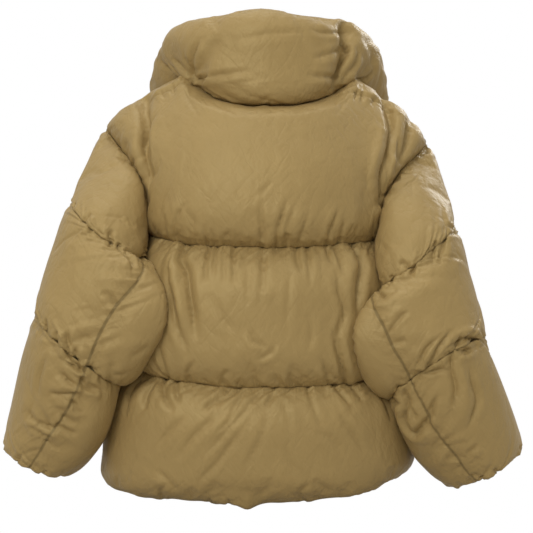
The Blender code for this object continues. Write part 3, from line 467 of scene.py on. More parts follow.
def sleeve(side, seamDip=0.45):
    back = smoothLine(armholeBack[side], cells["armhole"] + 1)[::-1]
    front = smoothLine(armholeFront[side], cells["armhole"] + 1)
    rings = [np.vstack([back[:-1], front[:-1]])] + [sleeveRing(row) for row in sleeveRings[side]]
    twists = [0] + [row["twist"] for row in sleeveRings[side]]
    rows = easedRows(cells["band"])
    column = np.linspace(0, 2 * math.pi, 2 * cells["armhole"], endpoint=False)[None]
    inward = 1.0 if side == "left" else -1.0
    made = []
    for k, name in enumerate(("upper", "middle", "lower")):
        bow = np.radians(seamBows[side][k] * np.sin(math.pi * rows))[:, None]
        bowed = column - bow * np.sin(column / 2) ** 2
        twist = np.radians(twists[k] + (twists[k + 1] - twists[k]) * rows)[:, None]
        angle = bowed - twist * np.sin(bowed / 2) ** 2
        overBack = np.maximum(np.cos(angle - math.radians(145)), 0) ** 1.5
        grid = turnedRings(loft(rings[k], rings[k + 1], rows), bowed)
        swell = np.sin(math.pi * rows)[:, None] * overBack * sleeveLobes[side][k]
        grid = grid + swell[..., None] * np.array([inward, -0.35, 0])
        pinched = np.maximum(-np.cos(column), 0) ** 2 * (1 - rows)[:, None]
        free = 1 - 0.95 * pinched if name == "upper" else 1.0
        dip = 1 - seamDip * np.maximum(-np.cos(column), 0) ** 24
        plump = (0.75 - 0.3 * np.cos(angle)) * free * dip
        made.append(makePanel(f"sleeve_{side}_{name}", grid, "cuff" if name == "lower" else "sleeve",
                              grid - grid.mean(axis=1, keepdims=True), True, plump, free))
    return made


def collarPiece():
    back = smoothLine(neckBack, neckCells + 1)
    fronts = {s: smoothLine(neckFront[s], cells["front"] - cells["shoulder"] + 1) for s in neckFront}
    base = np.vstack([fronts["left"][:-1], back, fronts["right"][::-1][1:]])
    grid = loft(base, smoothLine(collarTop, len(base)), easedRows(cells["band"]))
    return makePanel("collar", grid, "collar", (base - np.array([0, 0.03, 0]))[None])


def cutPieces():
    backs = [upperBack(), bodyBand("back_middle", "waist", "underarm", "band"),
             bodyBand("back_lower", "hem", "waist", "hem")]
    fronts = []
    for side in ("left", "right"):
        fronts.append(upperFront(side))
        fronts.append(bodyBand(f"front_{side}_middle", "waist", "underarm", "band", side))
        fronts.append(bodyBand(f"front_{side}_lower", "hem", "waist", "hem", side))
    sleeves = sleeve("left") + sleeve("right")
    neck = collarPiece()
    everything = backs + fronts + sleeves + [neck]
    settleSeams(everything)
    bodyTree = faceTree(backs + fronts)
    sleeveOffBody(sleeves[:3], bodyTree)
    sleeveOffBody(sleeves[3:], bodyTree)
    collarOffShoulders(neck, bodyTree)
    settleSeams(everything)
    return {panel.name: panel for panel in everything}


panels = cutPieces()
print("stage: pieces cut")


# ---- inflated cloth: each outer face is a loose sheet, sewn down along its edges

clothSim = dict(frames=20, pressure=3.0, looseCrown=0.010, looseSeam=0.06, seamReach=0.028,
                mass=0.15, tension=18.0, bending=0.3, quality=5, cap=0.008)
rng = np.random.default_rng(7)


def softNoise(count, spacing):  # smooth values from 0 to 1 along a line of grid points
    knots = rng.random(max(4, int(count / spacing) + 3))
    return np.interp(np.linspace(0, len(knots) - 1, count), np.arange(len(knots)), knots)


def opened(values, panel):  # a tube is cut open along its underarm seam, the middle column
    if not panel.tube:
        return values
    turned = np.roll(values, -(values.shape[1] // 2), axis=1)
    return np.concatenate([turned, turned[:, :1]], axis=1)


def edgeDistances(grid):  # metres from the first row, last row, first column, last column
    found = []
    for axis in (0, 1):
        steps = np.linalg.norm(np.diff(grid, axis=axis), axis=2)
        zero = np.zeros_like(np.take(steps, [0], axis))
        walked = np.cumsum(np.concatenate([zero, steps], axis), axis)
        found += [walked, np.take(walked, [-1], axis) - walked]
    return found


def looseCloth(panel):
    base = opened(facesOf(panel)[0], panel)
    rows, columns = base.shape[:2]
    quads = gridQuads(rows, columns, False)
    quads = quads if panel.turn > 0 else quads[:, ::-1]
    mesh = bpy.data.meshes.new(panel.name + "_loose")
    mesh.from_pydata(base.reshape(-1, 3).tolist(), [], quads.tolist())
    made = bpy.data.objects.new(mesh.name, mesh)
    scene.collection.objects.link(made)
    edge = np.zeros((rows, columns), bool)
    edge[[0, -1]] = edge[:, [0, -1]] = True
    pins = made.vertex_groups.new(name="sewn")
    pins.add(np.flatnonzero(edge.ravel()).tolist(), 1.0, "REPLACE")
    near = np.exp(-((np.min(edgeDistances(base), axis=0) / clothSim["seamReach"]) ** 2))
    near = near * (0.45 + 0.55 * softNoise(columns, 6)[None])
    loose = made.vertex_groups.new(name="loose")
    for k, weight in enumerate(near.ravel()):
        loose.add([k], float(weight), "REPLACE")
    cloth = made.modifiers.new("down", "CLOTH")
    settings = cloth.settings
    settings.quality = clothSim["quality"]
    settings.mass = clothSim["mass"]
    settings.tension_stiffness = settings.compression_stiffness = clothSim["tension"]
    settings.shear_stiffness = clothSim["tension"] / 3
    settings.bending_stiffness = clothSim["bending"]
    settings.vertex_group_mass = "sewn"
    settings.vertex_group_shrink = "loose"
    settings.shrink_min = -clothSim["looseCrown"]
    settings.shrink_max = -clothSim["looseSeam"]
    settings.use_pressure = True
    settings.uniform_pressure_force = clothSim["pressure"]
    settings.effector_weights.gravity = 0
    cloth.collision_settings.use_collision = False
    cloth.point_cache.frame_start = 1
    cloth.point_cache.frame_end = clothSim["frames"]
    return made, base


def inflate(panels):  # all sheets settle together; none may leave its cut form by more than the cap
    cloths = {name: looseCloth(panel) for name, panel in panels.items()}
    for step in range(1, clothSim["frames"] + 1):
        scene.frame_set(step)
    graph = bpy.context.evaluated_depsgraph_get()
    settled = {}
    for name, (made, base) in cloths.items():
        evaluated = made.evaluated_get(graph)
        mesh = evaluated.to_mesh()
        points = np.empty(len(mesh.vertices) * 3, np.float32)
        mesh.vertices.foreach_get("co", points)
        evaluated.to_mesh_clear()
        move = points.reshape(base.shape) - base
        length = np.linalg.norm(move, axis=2, keepdims=True)
        limit = clothSim["cap"] * np.tanh(length / clothSim["cap"])
        settled[name] = base + move * limit / np.maximum(length, 1e-9)
    for made, _ in cloths.values():
        mesh = made.data
        bpy.data.objects.remove(made)
        bpy.data.meshes.remove(mesh)
    scene.frame_set(1)
    return settled


# ---- puckers along the seams, and creases

puckers = dict(
    default=dict(spacing=0.012, depth=0.0024, length=0.018, width=0.0034),
    collar=dict(spacing=0.022, depth=0.0012, length=0.026, width=0.0056),
    sleeve=dict(spacing=0.016, depth=0.0019, length=0.018, width=0.0040),
    underarm=dict(spacing=0.016, depth=0.0021, length=0.020, width=0.0040),
    calm=dict(spacing=0.034, depth=0.0014, length=0.020, width=0.0075),
)
creaseDepth = {True: 1.50, False: 1.25}  # sleeves, then flat panels
lumps = [(0.070, 0.0012), (0.030, 0.0004)]  # spacing and height of the down's soft unevenness
groove = dict(depth=0.0016, width=0.0026)  # of the underarm seam
waves = dict(size=0.0008, length=0.045, fade=0.012, calmFrom=0.012, calmTo=0.050)  # how seams waver off their line


def puckerEdge(away, along, style, rough=1.0):  # troughs that run out from one edge, all unlike
    total = float(along.max())
    lift = np.zeros(away.shape)
    place = rng.uniform(0, style["spacing"])
    while place < total:
        strong = rng.random() ** 1.6
        depth = style["depth"] * (0.25 + 1.35 * strong) * rough
        length = style["length"] * (0.5 + 1.2 * strong + (2.0 if rng.random() > 0.86 else 0.0))
        width = style["width"] * rng.uniform(0.7, 1.4)
        slant = rng.uniform(-0.55, 0.55)
        aside = (along - place - slant * away) / (width * (1 + 0.6 * away / style["length"]))
        across = np.abs(aside)
        bank = 0.45 + rng.uniform(-0.45, 0.45) * np.sign(aside)
        fade = np.exp(-((away / length) ** 1.6))
        lift += depth * fade * (bank * np.exp(-((across - 1.7) ** 2)) - np.exp(-(across**1.1)))
        place += style["spacing"] * rng.uniform(0.35, 1.7)
    return lift * np.clip(away / 0.003, 0.0, 1.0)


def softField(walked, cloth, spacing):  # smooth unevenness over a piece, about -1 to 1
    rows, columns = (int(np.max(k) / spacing) + 4 for k in (walked, cloth))
    knots = rng.uniform(-1, 1, (rows, columns))
    y, x = walked / spacing + 1, cloth / spacing + 1
    total = 0
    for i in (-1, 0, 1, 2):
        for j in (-1, 0, 1, 2):
            r, c = np.floor(y) + i, np.floor(x) + j
            weight = np.ones(y.shape)
            for far in (np.abs(y - r), np.abs(x - c)):
                weight = weight * np.where(far < 1, 2 / 3 - far**2 + far**3 / 2,
                                           np.clip(2 - far, 0, 1) ** 3 / 6)
            total = total + weight * knots[np.clip(r, 0, rows - 1).astype(int),
                                           np.clip(c, 0, columns - 1).astype(int)]
    return 1.8 * total


def creaseLift(grid, normals, path, depth, width, ends, lean):  # cloth lapping over on one side
    line = smoothLine([placeOn(grid, *share) for share in path], 33)
    reach = 7 * width
    near = np.all((grid > line.min(axis=0) - reach) & (grid < line.max(axis=0) + reach), axis=2)
    gaps = grid[near][:, None] - line[None]
    away = np.linalg.norm(gaps, axis=2)
    closest = np.argmin(away, axis=1)
    strength = np.interp(closest / 32, [0, 0.3, 0.7, 1], [ends[0], 1, 1, ends[1]])
    toSide = np.cross(np.gradient(line, axis=0)[closest], normals[near])
    which = np.sign(np.sum(toSide * gaps[np.arange(len(gaps)), closest], axis=1)) * np.sign(lean)
    side = np.min(away, axis=1) / width
    trough = np.exp(-(side**1.15)) - 0.4 * np.exp(-((side - 2.0) ** 2))
    lap = which * np.tanh(2.5 * side) * np.exp(-side / np.where(which > 0, 2.2, 1.1))
    lift = np.zeros(grid.shape[:2])
    fade = np.clip(1 - (side / 7) ** 2, 0, 1)
    lift[near] = depth * strength * fade * (abs(lean) * lap - (1 - 0.4 * abs(lean)) * trough)
    return lift


# Creases: a path of (height, width) shares, how deep, how wide, and the strength at its ends.
# On a sleeve heights run down from the shoulder, and widths round from the underarm seam.
creases = {
    "back_upper": [
        ([(0.42, 0.517), (0.37, 0.500), (0.32, 0.483)], 0.0014, 0.0044, (0, 0)),
        ([(0.01, 0.520), (0.10, 0.525), (0.20, 0.535), (0.32, 0.545)], 0.0034, 0.0044, (1, 0)),
        ([(0.02, 0.548), (0.14, 0.552), (0.26, 0.568)], 0.0030, 0.0042, (1, 0)),
        ([(0.02, 0.572), (0.10, 0.578), (0.24, 0.594)], 0.0026, 0.0042, (1, 0)),
        ([(0.01, 0.497), (0.14, 0.495), (0.30, 0.490)], 0.0030, 0.0044, (1, 0)),
        ([(0.01, 0.358), (0.14, 0.358)], 0.0032, 0.0042, (1, 0)),
        ([(0.01, 0.383), (0.12, 0.384)], 0.0026, 0.0040, (1, 0)),
        ([(0.02, 0.650), (0.10, 0.655), (0.22, 0.675)], 0.0032, 0.0042, (1, 0)),
        ([(0.02, 0.700), (0.08, 0.695), (0.15, 0.700)], 0.0030, 0.0042, (1, 0)),
        ([(0.03, 0.250), (0.12, 0.262), (0.24, 0.300)], 0.0030, 0.0050, (1, 0)),
        ([(0.84, 0.13), (0.70, 0.115), (0.56, 0.085), (0.42, 0.065)], 0.0080, 0.0074, (0, 0.5)),
        ([(0.74, 0.170), (0.66, 0.130), (0.60, 0.100)], 0.0030, 0.0055, (0, 0.5)),
        ([(0.92, 0.845), (0.76, 0.872), (0.60, 0.885), (0.42, 0.885), (0.28, 0.90)],
         0.0105, 0.0078, (0.2, 0.6)),
        ([(0.95, 0.905), (0.84, 0.925), (0.70, 0.955)], 0.0045, 0.0055, (0.3, 0.3)),
        ([(0.72, 0.905), (0.62, 0.925), (0.52, 0.955)], 0.0036, 0.0050, (0, 0.3)),
        ([(0.60, 0.895), (0.50, 0.915), (0.40, 0.945)], 0.0032, 0.0050, (0, 0.3)),
        ([(0.94, 0.275), (0.89, 0.225), (0.88, 0.183), (0.89, 0.150)], 0.0034, 0.0034, (0.7, 0.7)),
        ([(0.92, 0.700), (0.87, 0.750), (0.86, 0.808), (0.88, 0.867), (0.86, 0.940)],
         0.0036, 0.0034, (0.7, 0.7)),
        ([(0.88, 0.185), (0.81, 0.195)], 0.0022, 0.0036, (1, 0)),
        ([(0.90, 0.225), (0.83, 0.235)], 0.0022, 0.0036, (1, 0)),
        ([(0.88, 0.745), (0.81, 0.735)], 0.0024, 0.0036, (1, 0)),
        ([(0.87, 0.775), (0.79, 0.768)], 0.0022, 0.0036, (1, 0)),
        ([(0.87, 0.812), (0.80, 0.800)], 0.0024, 0.0036, (1, 0)),
        ([(0.88, 0.850), (0.81, 0.838)], 0.0022, 0.0036, (1, 0)),
    ],
    "back_middle": [
        ([(0.99, 0.282), (0.83, 0.292), (0.75, 0.317), (0.58, 0.342), (0.34, 0.367)],
         0.0095, 0.0080, (0.6, 0)),
        ([(0.95, 0.262), (0.75, 0.275), (0.55, 0.295)], -0.0045, 0.0090, (0.3, 0)),
        ([(0.99, 0.366), (0.88, 0.367), (0.68, 0.375)], 0.0042, 0.0042, (1, 0)),
        ([(0.99, 0.391), (0.88, 0.392), (0.72, 0.400)], 0.0034, 0.0040, (1, 0)),
        ([(0.99, 0.432), (0.90, 0.433), (0.68, 0.442)], 0.0032, 0.0046, (1, 0)),
        ([(0.99, 0.500), (0.80, 0.500), (0.52, 0.502)], 0.0036, 0.0050, (1, 0)),
        ([(0.99, 0.566), (0.88, 0.567), (0.75, 0.575)], 0.0032, 0.0042, (1, 0)),
        ([(0.99, 0.600), (0.88, 0.600), (0.65, 0.602)], 0.0034, 0.0044, (1, 0)),
        ([(0.98, 0.652), (0.88, 0.652), (0.80, 0.655)], 0.0034, 0.0040, (1, 0)),
        ([(0.98, 0.682), (0.85, 0.683), (0.72, 0.683)], 0.0036, 0.0042, (1, 0)),
        ([(0.99, 0.742), (0.80, 0.742), (0.65, 0.717), (0.46, 0.708)], 0.0080, 0.0075, (1, 0)),
        ([(0.92, 0.268), (0.75, 0.275), (0.55, 0.305), (0.38, 0.335)], 0.0050, 0.0062, (0.4, 0)),
        ([(0.62, 0.285), (0.45, 0.308), (0.30, 0.342), (0.22, 0.345)], 0.0034, 0.0054, (0, 0)),
        ([(0.825, 0.558), (0.60, 0.550), (0.375, 0.550)], 0.0018, 0.0056, (0, 0)),
        ([(0.775, 0.660), (0.625, 0.664), (0.50, 0.675), (0.375, 0.658)], 0.0038, 0.0054, (0, 0)),
        ([(0.55, 0.680), (0.375, 0.664), (0.175, 0.675), (0.06, 0.690)], 0.0036, 0.0054, (0, 0.6)),
        ([(0.90, 0.410), (0.78, 0.415), (0.66, 0.420)], 0.0020, 0.0044, (0, 0)),
        ([(0.86, 0.470), (0.70, 0.476), (0.55, 0.474)], 0.0018, 0.0048, (0, 0)),
        ([(0.60, 0.405), (0.48, 0.425), (0.40, 0.455)], 0.0018, 0.0050, (0, 0)),
        ([(0.52, 0.590), (0.40, 0.600), (0.30, 0.590)], 0.0020, 0.0052, (0, 0)),
        ([(0.42, 0.478), (0.36, 0.487), (0.32, 0.500), (0.27, 0.502)], 0.0034, 0.0042, (0, 0)),
        ([(0.35, 0.527), (0.29, 0.515), (0.25, 0.502), (0.24, 0.490)], 0.0030, 0.0040, (0, 0)),
        ([(0.02, 0.690), (0.12, 0.680), (0.30, 0.658), (0.42, 0.652)], 0.0046, 0.0052, (1, 0)),
        ([(0.02, 0.640), (0.12, 0.632), (0.25, 0.618)], 0.0032, 0.0044, (1, 0)),
        ([(0.02, 0.300), (0.15, 0.292), (0.30, 0.280)], 0.0034, 0.0050, (1, 0)),
        ([(0.02, 0.345), (0.12, 0.350), (0.22, 0.365)], 0.0034, 0.0042, (1, 0)),
        ([(0.02, 0.430), (0.10, 0.435), (0.16, 0.445)], 0.0026, 0.0040, (1, 0)),
        ([(0.02, 0.560), (0.09, 0.555), (0.15, 0.550)], 0.0024, 0.0040, (1, 0)),
    ],
    "back_lower": [
        ([(0.99, 0.272), (0.92, 0.275), (0.80, 0.300), (0.70, 0.330)], 0.0046, 0.0050, (1, 0)),
        ([(0.99, 0.315), (0.95, 0.317), (0.86, 0.328), (0.77, 0.342)], 0.0040, 0.0044, (1, 0)),
        ([(0.97, 0.438), (0.90, 0.428), (0.80, 0.405), (0.72, 0.392)], 0.0042, 0.0044, (0.8, 0)),
        ([(0.97, 0.462), (0.90, 0.448), (0.82, 0.430), (0.75, 0.417)], 0.0036, 0.0042, (0.8, 0)),
        ([(0.99, 0.520), (0.88, 0.515), (0.74, 0.505)], 0.0030, 0.0044, (1, 0)),
        ([(0.99, 0.600), (0.90, 0.600), (0.80, 0.610)], 0.0030, 0.0042, (1, 0)),
        ([(0.99, 0.660), (0.88, 0.670), (0.72, 0.690)], 0.0036, 0.0046, (1, 0)),
        ([(0.99, 0.710), (0.90, 0.715), (0.76, 0.730)], 0.0034, 0.0046, (1, 0)),
        ([(0.875, 0.492), (0.74, 0.470), (0.60, 0.442), (0.45, 0.408)], 0.0026, 0.0050, (0, 0)),
        ([(0.925, 0.475), (0.80, 0.462), (0.675, 0.450), (0.575, 0.425)], 0.0030, 0.0046, (0.6, 0)),
        ([(0.825, 0.517), (0.70, 0.510), (0.55, 0.500), (0.325, 0.475)], 0.0024, 0.0052, (0, 0)),
        ([(0.875, 0.542), (0.74, 0.552), (0.60, 0.558)], 0.0020, 0.0048, (0, 0)),
        ([(0.875, 0.592), (0.78, 0.600), (0.675, 0.608), (0.575, 0.625)], 0.0024, 0.0050, (0, 0)),
        ([(0.75, 0.658), (0.65, 0.672), (0.55, 0.692), (0.40, 0.725)], 0.0028, 0.0054, (0, 0)),
        ([(0.93, 0.250), (0.80, 0.242), (0.675, 0.250)], 0.0048, 0.0058, (0.6, 0)),
        ([(0.78, 0.435), (0.675, 0.417), (0.55, 0.383), (0.375, 0.350)], 0.0030, 0.0056, (0, 0)),
        ([(0.66, 0.475), (0.55, 0.458), (0.375, 0.425), (0.225, 0.392)], 0.0026, 0.0056, (0, 0)),
        ([(0.70, 0.365), (0.58, 0.330), (0.42, 0.300)], 0.0028, 0.0056, (0, 0)),
        ([(0.60, 0.600), (0.525, 0.633), (0.375, 0.667)], 0.0022, 0.0054, (0, 0)),
        ([(0.55, 0.545), (0.42, 0.552), (0.275, 0.567)], 0.0020, 0.0056, (0, 0)),
        ([(0.88, 0.775), (0.74, 0.790), (0.58, 0.800)], 0.0034, 0.0060, (0.3, 0)),
        ([(0.90, 0.200), (0.76, 0.190), (0.60, 0.195)], 0.0034, 0.0060, (0.3, 0)),
        ([(0.30, 0.300), (0.22, 0.330), (0.12, 0.350)], 0.0022, 0.0054, (0, 0)),
        ([(0.01, 0.300), (0.12, 0.310), (0.22, 0.330)], 0.0026, 0.0050, (1, 0)),
        ([(0.01, 0.420), (0.10, 0.425)], 0.0030, 0.0044, (1, 0)),
        ([(0.01, 0.455), (0.09, 0.460)], 0.0030, 0.0044, (1, 0)),
        ([(0.01, 0.580), (0.12, 0.570), (0.24, 0.590)], 0.0026, 0.0050, (1, 0)),
        ([(0.02, 0.440), (0.04, 0.470), (0.02, 0.500)], -0.0060, 0.0120, (0.3, 0.3)),
        ([(0.03, 0.650), (0.03, 0.720), (0.04, 0.780)], -0.0045, 0.0140, (0.3, 0.3)),
    ],
    "sleeve_left_upper": [
        ([(0.99, 0.690), (0.90, 0.690), (0.82, 0.700)], 0.0030, 0.0044, (1, 0)),
        ([(0.99, 0.830), (0.90, 0.810), (0.80, 0.805)], 0.0034, 0.0044, (1, 0)),
        ([(0.99, 0.880), (0.90, 0.870)], 0.0034, 0.0044, (1, 0)),
    ],
    "sleeve_left_middle": [
        ([(0.50, 0.94), (0.50, 0.97), (0.52, 0.99)], 0.0032, 0.0042, (0, 1)),
        ([(0.02, 0.88), (0.12, 0.92), (0.20, 0.96)], 0.0046, 0.0046, (1, 0.2)),
        ([(0.06, 0.91), (0.16, 0.94), (0.27, 0.965)], 0.0036, 0.0044, (1, 0.2)),
        ([(0.01, 0.845), (0.10, 0.850)], 0.0034, 0.0042, (1, 0)),
        ([(0.01, 0.720), (0.09, 0.735)], 0.0030, 0.0042, (1, 0)),
        ([(0.99, 0.720), (0.88, 0.705)], 0.0030, 0.0044, (1, 0)),
        ([(0.99, 0.860), (0.88, 0.845)], 0.0034, 0.0044, (1, 0)),
        ([(0.99, 0.920), (0.90, 0.900), (0.82, 0.890)], 0.0038, 0.0046, (1, 0)),
        ([(0.99, 0.965), (0.90, 0.950)], 0.0034, 0.0042, (1, 0)),
        ([(0.99, 0.010), (0.96, 0.035)], 0.0034, 0.0042, (1, 0)),
        ([(0.65, 0.11), (0.70, 0.10), (0.78, 0.08)], 0.0018, 0.0060, (0, 0)),
        ([(0.90, 0.07), (0.85, 0.10)], 0.0022, 0.0050, (0, 0)),
    ],
    "sleeve_left_lower": [
        ([(0.01, 0.915), (0.05, 0.955), (0.075, 0.99)], 0.0048, 0.0042, (1, 1)),
        ([(0.10, 0.930), (0.08, 0.985)], 0.0042, 0.0042, (0.2, 1)),
        ([(0.225, 0.925), (0.25, 0.985)], 0.0042, 0.0044, (0.2, 1)),
        ([(0.15, 0.005), (0.20, 0.020), (0.17, 0.050)], 0.0046, 0.0044, (1, 0.4)),
        ([(0.175, 0.030), (0.175, 0.075)], 0.0036, 0.0042, (0.6, 0)),
        ([(0.375, 0.920), (0.35, 0.955), (0.30, 0.99)], 0.0042, 0.0044, (0, 1)),
        ([(0.57, 0.83), (0.60, 0.94), (0.57, 0.995)], 0.0034, 0.0050, (0, 1)),
        ([(0.64, 0.89), (0.64, 0.945), (0.64, 0.99)], 0.0032, 0.0042, (0, 1)),
        ([(0.375, 0.005), (0.40, 0.020), (0.40, 0.045)], 0.0032, 0.0042, (1, 0)),
        ([(0.475, 0.005), (0.475, 0.040)], 0.0032, 0.0042, (1, 0)),
        ([(0.55, 0.005), (0.55, 0.055)], 0.0032, 0.0044, (1, 0)),
        ([(0.675, 0.005), (0.675, 0.045)], 0.0030, 0.0044, (1, 0)),
        ([(0.47, 0.86), (0.62, 0.87)], 0.0018, 0.0070, (0, 0)),
        ([(0.17, 0.83), (0.35, 0.85), (0.45, 0.89)], 0.0030, 0.0056, (0, 0)),
        ([(0.98, 0.93), (0.88, 0.94)], 0.0026, 0.0044, (1, 0)),
        ([(0.98, 0.05), (0.90, 0.055)], 0.0026, 0.0044, (1, 0)),
    ],
    "sleeve_right_upper": [
        ([(0.99, 0.700), (0.92, 0.695)], 0.0028, 0.0044, (1, 0)),
        ([(0.99, 0.850), (0.90, 0.850), (0.82, 0.860)], 0.0034, 0.0044, (1, 0)),
        ([(0.99, 0.910), (0.90, 0.905)], 0.0034, 0.0044, (1, 0)),
    ],
    "sleeve_right_middle": [
        ([(0.01, 0.72), (0.15, 0.76)], 0.0030, 0.0044, (1, 0)),
        ([(0.01, 0.645), (0.10, 0.68), (0.22, 0.74)], 0.0030, 0.0048, (1, 0)),
        ([(0.01, 0.83), (0.10, 0.845), (0.20, 0.85)], 0.0042, 0.0042, (1, 0)),
        ([(0.01, 0.905), (0.10, 0.92), (0.20, 0.93)], 0.0042, 0.0042, (1, 0)),
        ([(0.10, 0.985), (0.22, 0.975), (0.32, 0.96)], 0.0036, 0.0044, (1, 0)),
        ([(0.55, 0.985), (0.50, 0.95), (0.47, 0.92)], 0.0030, 0.0042, (1, 0)),
        ([(0.675, 0.99), (0.675, 0.96)], 0.0028, 0.0042, (1, 0)),
        ([(0.77, 0.86), (0.82, 0.91), (0.90, 0.95)], 0.0050, 0.0044, (0.3, 0.6)),
        ([(0.77, 0.82), (0.85, 0.88), (0.95, 0.93)], 0.0048, 0.0046, (0.2, 0.8)),
        ([(0.90, 0.80), (0.90, 0.72), (0.98, 0.65)], 0.0056, 0.0050, (0.5, 0.8)),
        ([(0.98, 0.78), (0.90, 0.76), (0.84, 0.77)], 0.0036, 0.0044, (1, 0)),
    ],
    "sleeve_right_lower": [
        ([(0.02, 0.79), (0.075, 0.76), (0.10, 0.70)], 0.0046, 0.0046, (1, 0)),
        ([(0.02, 0.82), (0.16, 0.85), (0.30, 0.87), (0.45, 0.94)], 0.0042, 0.0060, (1, 0)),
        ([(0.20, 0.77), (0.30, 0.80), (0.42, 0.82), (0.55, 0.92)], 0.0042, 0.0062, (0, 0)),
        ([(0.27, 0.94), (0.32, 0.97), (0.37, 0.99)], 0.0032, 0.0042, (0, 1)),
        ([(0.10, 0.035), (0.20, 0.040), (0.30, 0.070), (0.42, 0.060), (0.40, 0.010)],
         0.0052, 0.0050, (1, 1)),
        ([(0.22, 0.030), (0.35, 0.030)], 0.0032, 0.0044, (0, 0)),
        ([(0.01, 0.090), (0.075, 0.085), (0.17, 0.050)], 0.0042, 0.0046, (1, 0)),
        ([(0.05, 0.94), (0.10, 0.89), (0.17, 0.86)], 0.0032, 0.0044, (1, 0)),
        ([(0.70, 0.95), (0.67, 0.90)], 0.0026, 0.0044, (1, 0)),
        ([(0.98, 0.90), (0.90, 0.905)], 0.0028, 0.0044, (1, 0)),
        ([(0.98, 0.97), (0.92, 0.965)], 0.0028, 0.0044, (1, 0)),
    ],
    "collar": [
        ([(0.24, 0.330), (0.34, 0.340), (0.46, 0.358), (0.68, 0.386)], 0.0062, 0.0058, (1, 0)),
        ([(0.26, 0.325), (0.38, 0.312), (0.54, 0.290)], 0.0042, 0.0050, (1, 0)),
        ([(0.38, 0.384), (0.31, 0.376), (0.25, 0.360), (0.24, 0.335)], 0.0040, 0.0044, (0.2, 1)),
        ([(0.27, 0.335), (0.40, 0.334), (0.56, 0.340)], 0.0032, 0.0046, (1, 0)),
        ([(0.25, 0.355), (0.31, 0.410), (0.36, 0.470)], 0.0030, 0.0048, (1, 0)),
        ([(0.76, 0.625), (0.66, 0.645), (0.55, 0.658), (0.38, 0.650), (0.20, 0.640)],
         0.0074, 0.0056, (0, 0.7)),
        ([(0.64, 0.668), (0.46, 0.674), (0.27, 0.668)], 0.0044, 0.0048, (0, 0.8)),
        ([(0.56, 0.655), (0.52, 0.620), (0.46, 0.570)], 0.0030, 0.0050, (1, 0)),
        ([(0.78, 0.632), (0.74, 0.600), (0.75, 0.560)], 0.0028, 0.0050, (1, 0)),
        ([(0.28, 0.650), (0.29, 0.610), (0.33, 0.565)], 0.0030, 0.0048, (1, 0)),
        ([(0.20, 0.262), (0.42, 0.258), (0.66, 0.248)], 0.0040, 0.0034, (1, 0.3)),
        ([(0.26, 0.290), (0.38, 0.280), (0.50, 0.275)], 0.0026, 0.0048, (1, 0)),
        ([(0.18, 0.742), (0.34, 0.748), (0.52, 0.748)], 0.0040, 0.0034, (1, 0.3)),
        ([(0.22, 0.700), (0.36, 0.706), (0.50, 0.704)], 0.0028, 0.0048, (1, 0)),
        ([(0.60, 0.440), (0.66, 0.500), (0.70, 0.560)], 0.0014, 0.0060, (0, 0)),
        ([(0.26, 0.120), (0.40, 0.140), (0.58, 0.150)], 0.0034, 0.0050, (1, 0)),
        ([(0.26, 0.880), (0.42, 0.860), (0.60, 0.855)], 0.0034, 0.0050, (1, 0)),
    ],
}
for side, shift in (("left", 0.0), ("right", 0.04)):  # the front and the sleeves' far sides, much alike
    for level, drop in (("middle", 0.0), ("lower", 0.05)):
        creases[f"front_{side}_{level}"] = [
            ([(0.99, 0.16 + shift), (0.84, 0.18 + shift), (0.66 - drop, 0.22 + shift)], 0.0044, 0.0050, (1, 0)),
            ([(0.99, 0.30 - shift), (0.88, 0.30), (0.78, 0.31)], 0.0034, 0.0042, (1, 0)),
            ([(0.99, 0.47), (0.86, 0.46 + shift), (0.60, 0.45 + shift)], 0.0038, 0.0050, (1, 0)),
            ([(0.99, 0.60 + shift), (0.90, 0.60), (0.80, 0.59)], 0.0032, 0.0042, (1, 0)),
            ([(0.99, 0.78), (0.86, 0.77 - shift), (0.70, 0.79 - shift)], 0.0040, 0.0046, (1, 0)),
            ([(0.02, 0.24), (0.14, 0.25 + shift), (0.26 + drop, 0.28)], 0.0034, 0.0046, (1, 0)),
            ([(0.02, 0.52 - shift), (0.12, 0.52), (0.20, 0.51)], 0.0030, 0.0042, (1, 0)),
            ([(0.02, 0.73), (0.14, 0.72 + shift), (0.30, 0.70)], 0.0036, 0.0046, (1, 0)),
        ]
    creases[f"front_{side}_upper"] = [
        ([(0.01, 0.22 + shift), (0.16, 0.24), (0.34, 0.28)], 0.0036, 0.0046, (1, 0)),
        ([(0.01, 0.45), (0.12, 0.45 + shift), (0.22, 0.46)], 0.0032, 0.0042, (1, 0)),
        ([(0.01, 0.70 - shift), (0.14, 0.69), (0.28, 0.66)], 0.0034, 0.0044, (1, 0)),
        ([(0.86, 0.20), (0.66, 0.14 + shift), (0.46, 0.12)], 0.0050, 0.0060, (0, 0.3)),
        ([(0.72, 0.24), (0.58, 0.18 + shift), (0.48, 0.16)], 0.0032, 0.0050, (0, 0)),
    ]
    for level in ("upper", "middle", "lower"):
        creases[f"sleeve_{side}_{level}"] += [
            ([(0.01, 0.30 + shift), (0.12, 0.31), (0.24, 0.34)], 0.0034, 0.0046, (1, 0)),
            ([(0.01, 0.50), (0.10, 0.49 + shift), (0.18, 0.48)], 0.0030, 0.0044, (1, 0)),
            ([(0.99, 0.22), (0.88, 0.23 + shift), (0.78, 0.25)], 0.0034, 0.0046, (1, 0)),
            ([(0.99, 0.42 - shift), (0.86, 0.41), (0.76, 0.40)], 0.0032, 0.0044, (1, 0)),
            ([(0.98, 0.58), (0.90, 0.57 + shift)], 0.0028, 0.0042, (1, 0)),
        ]


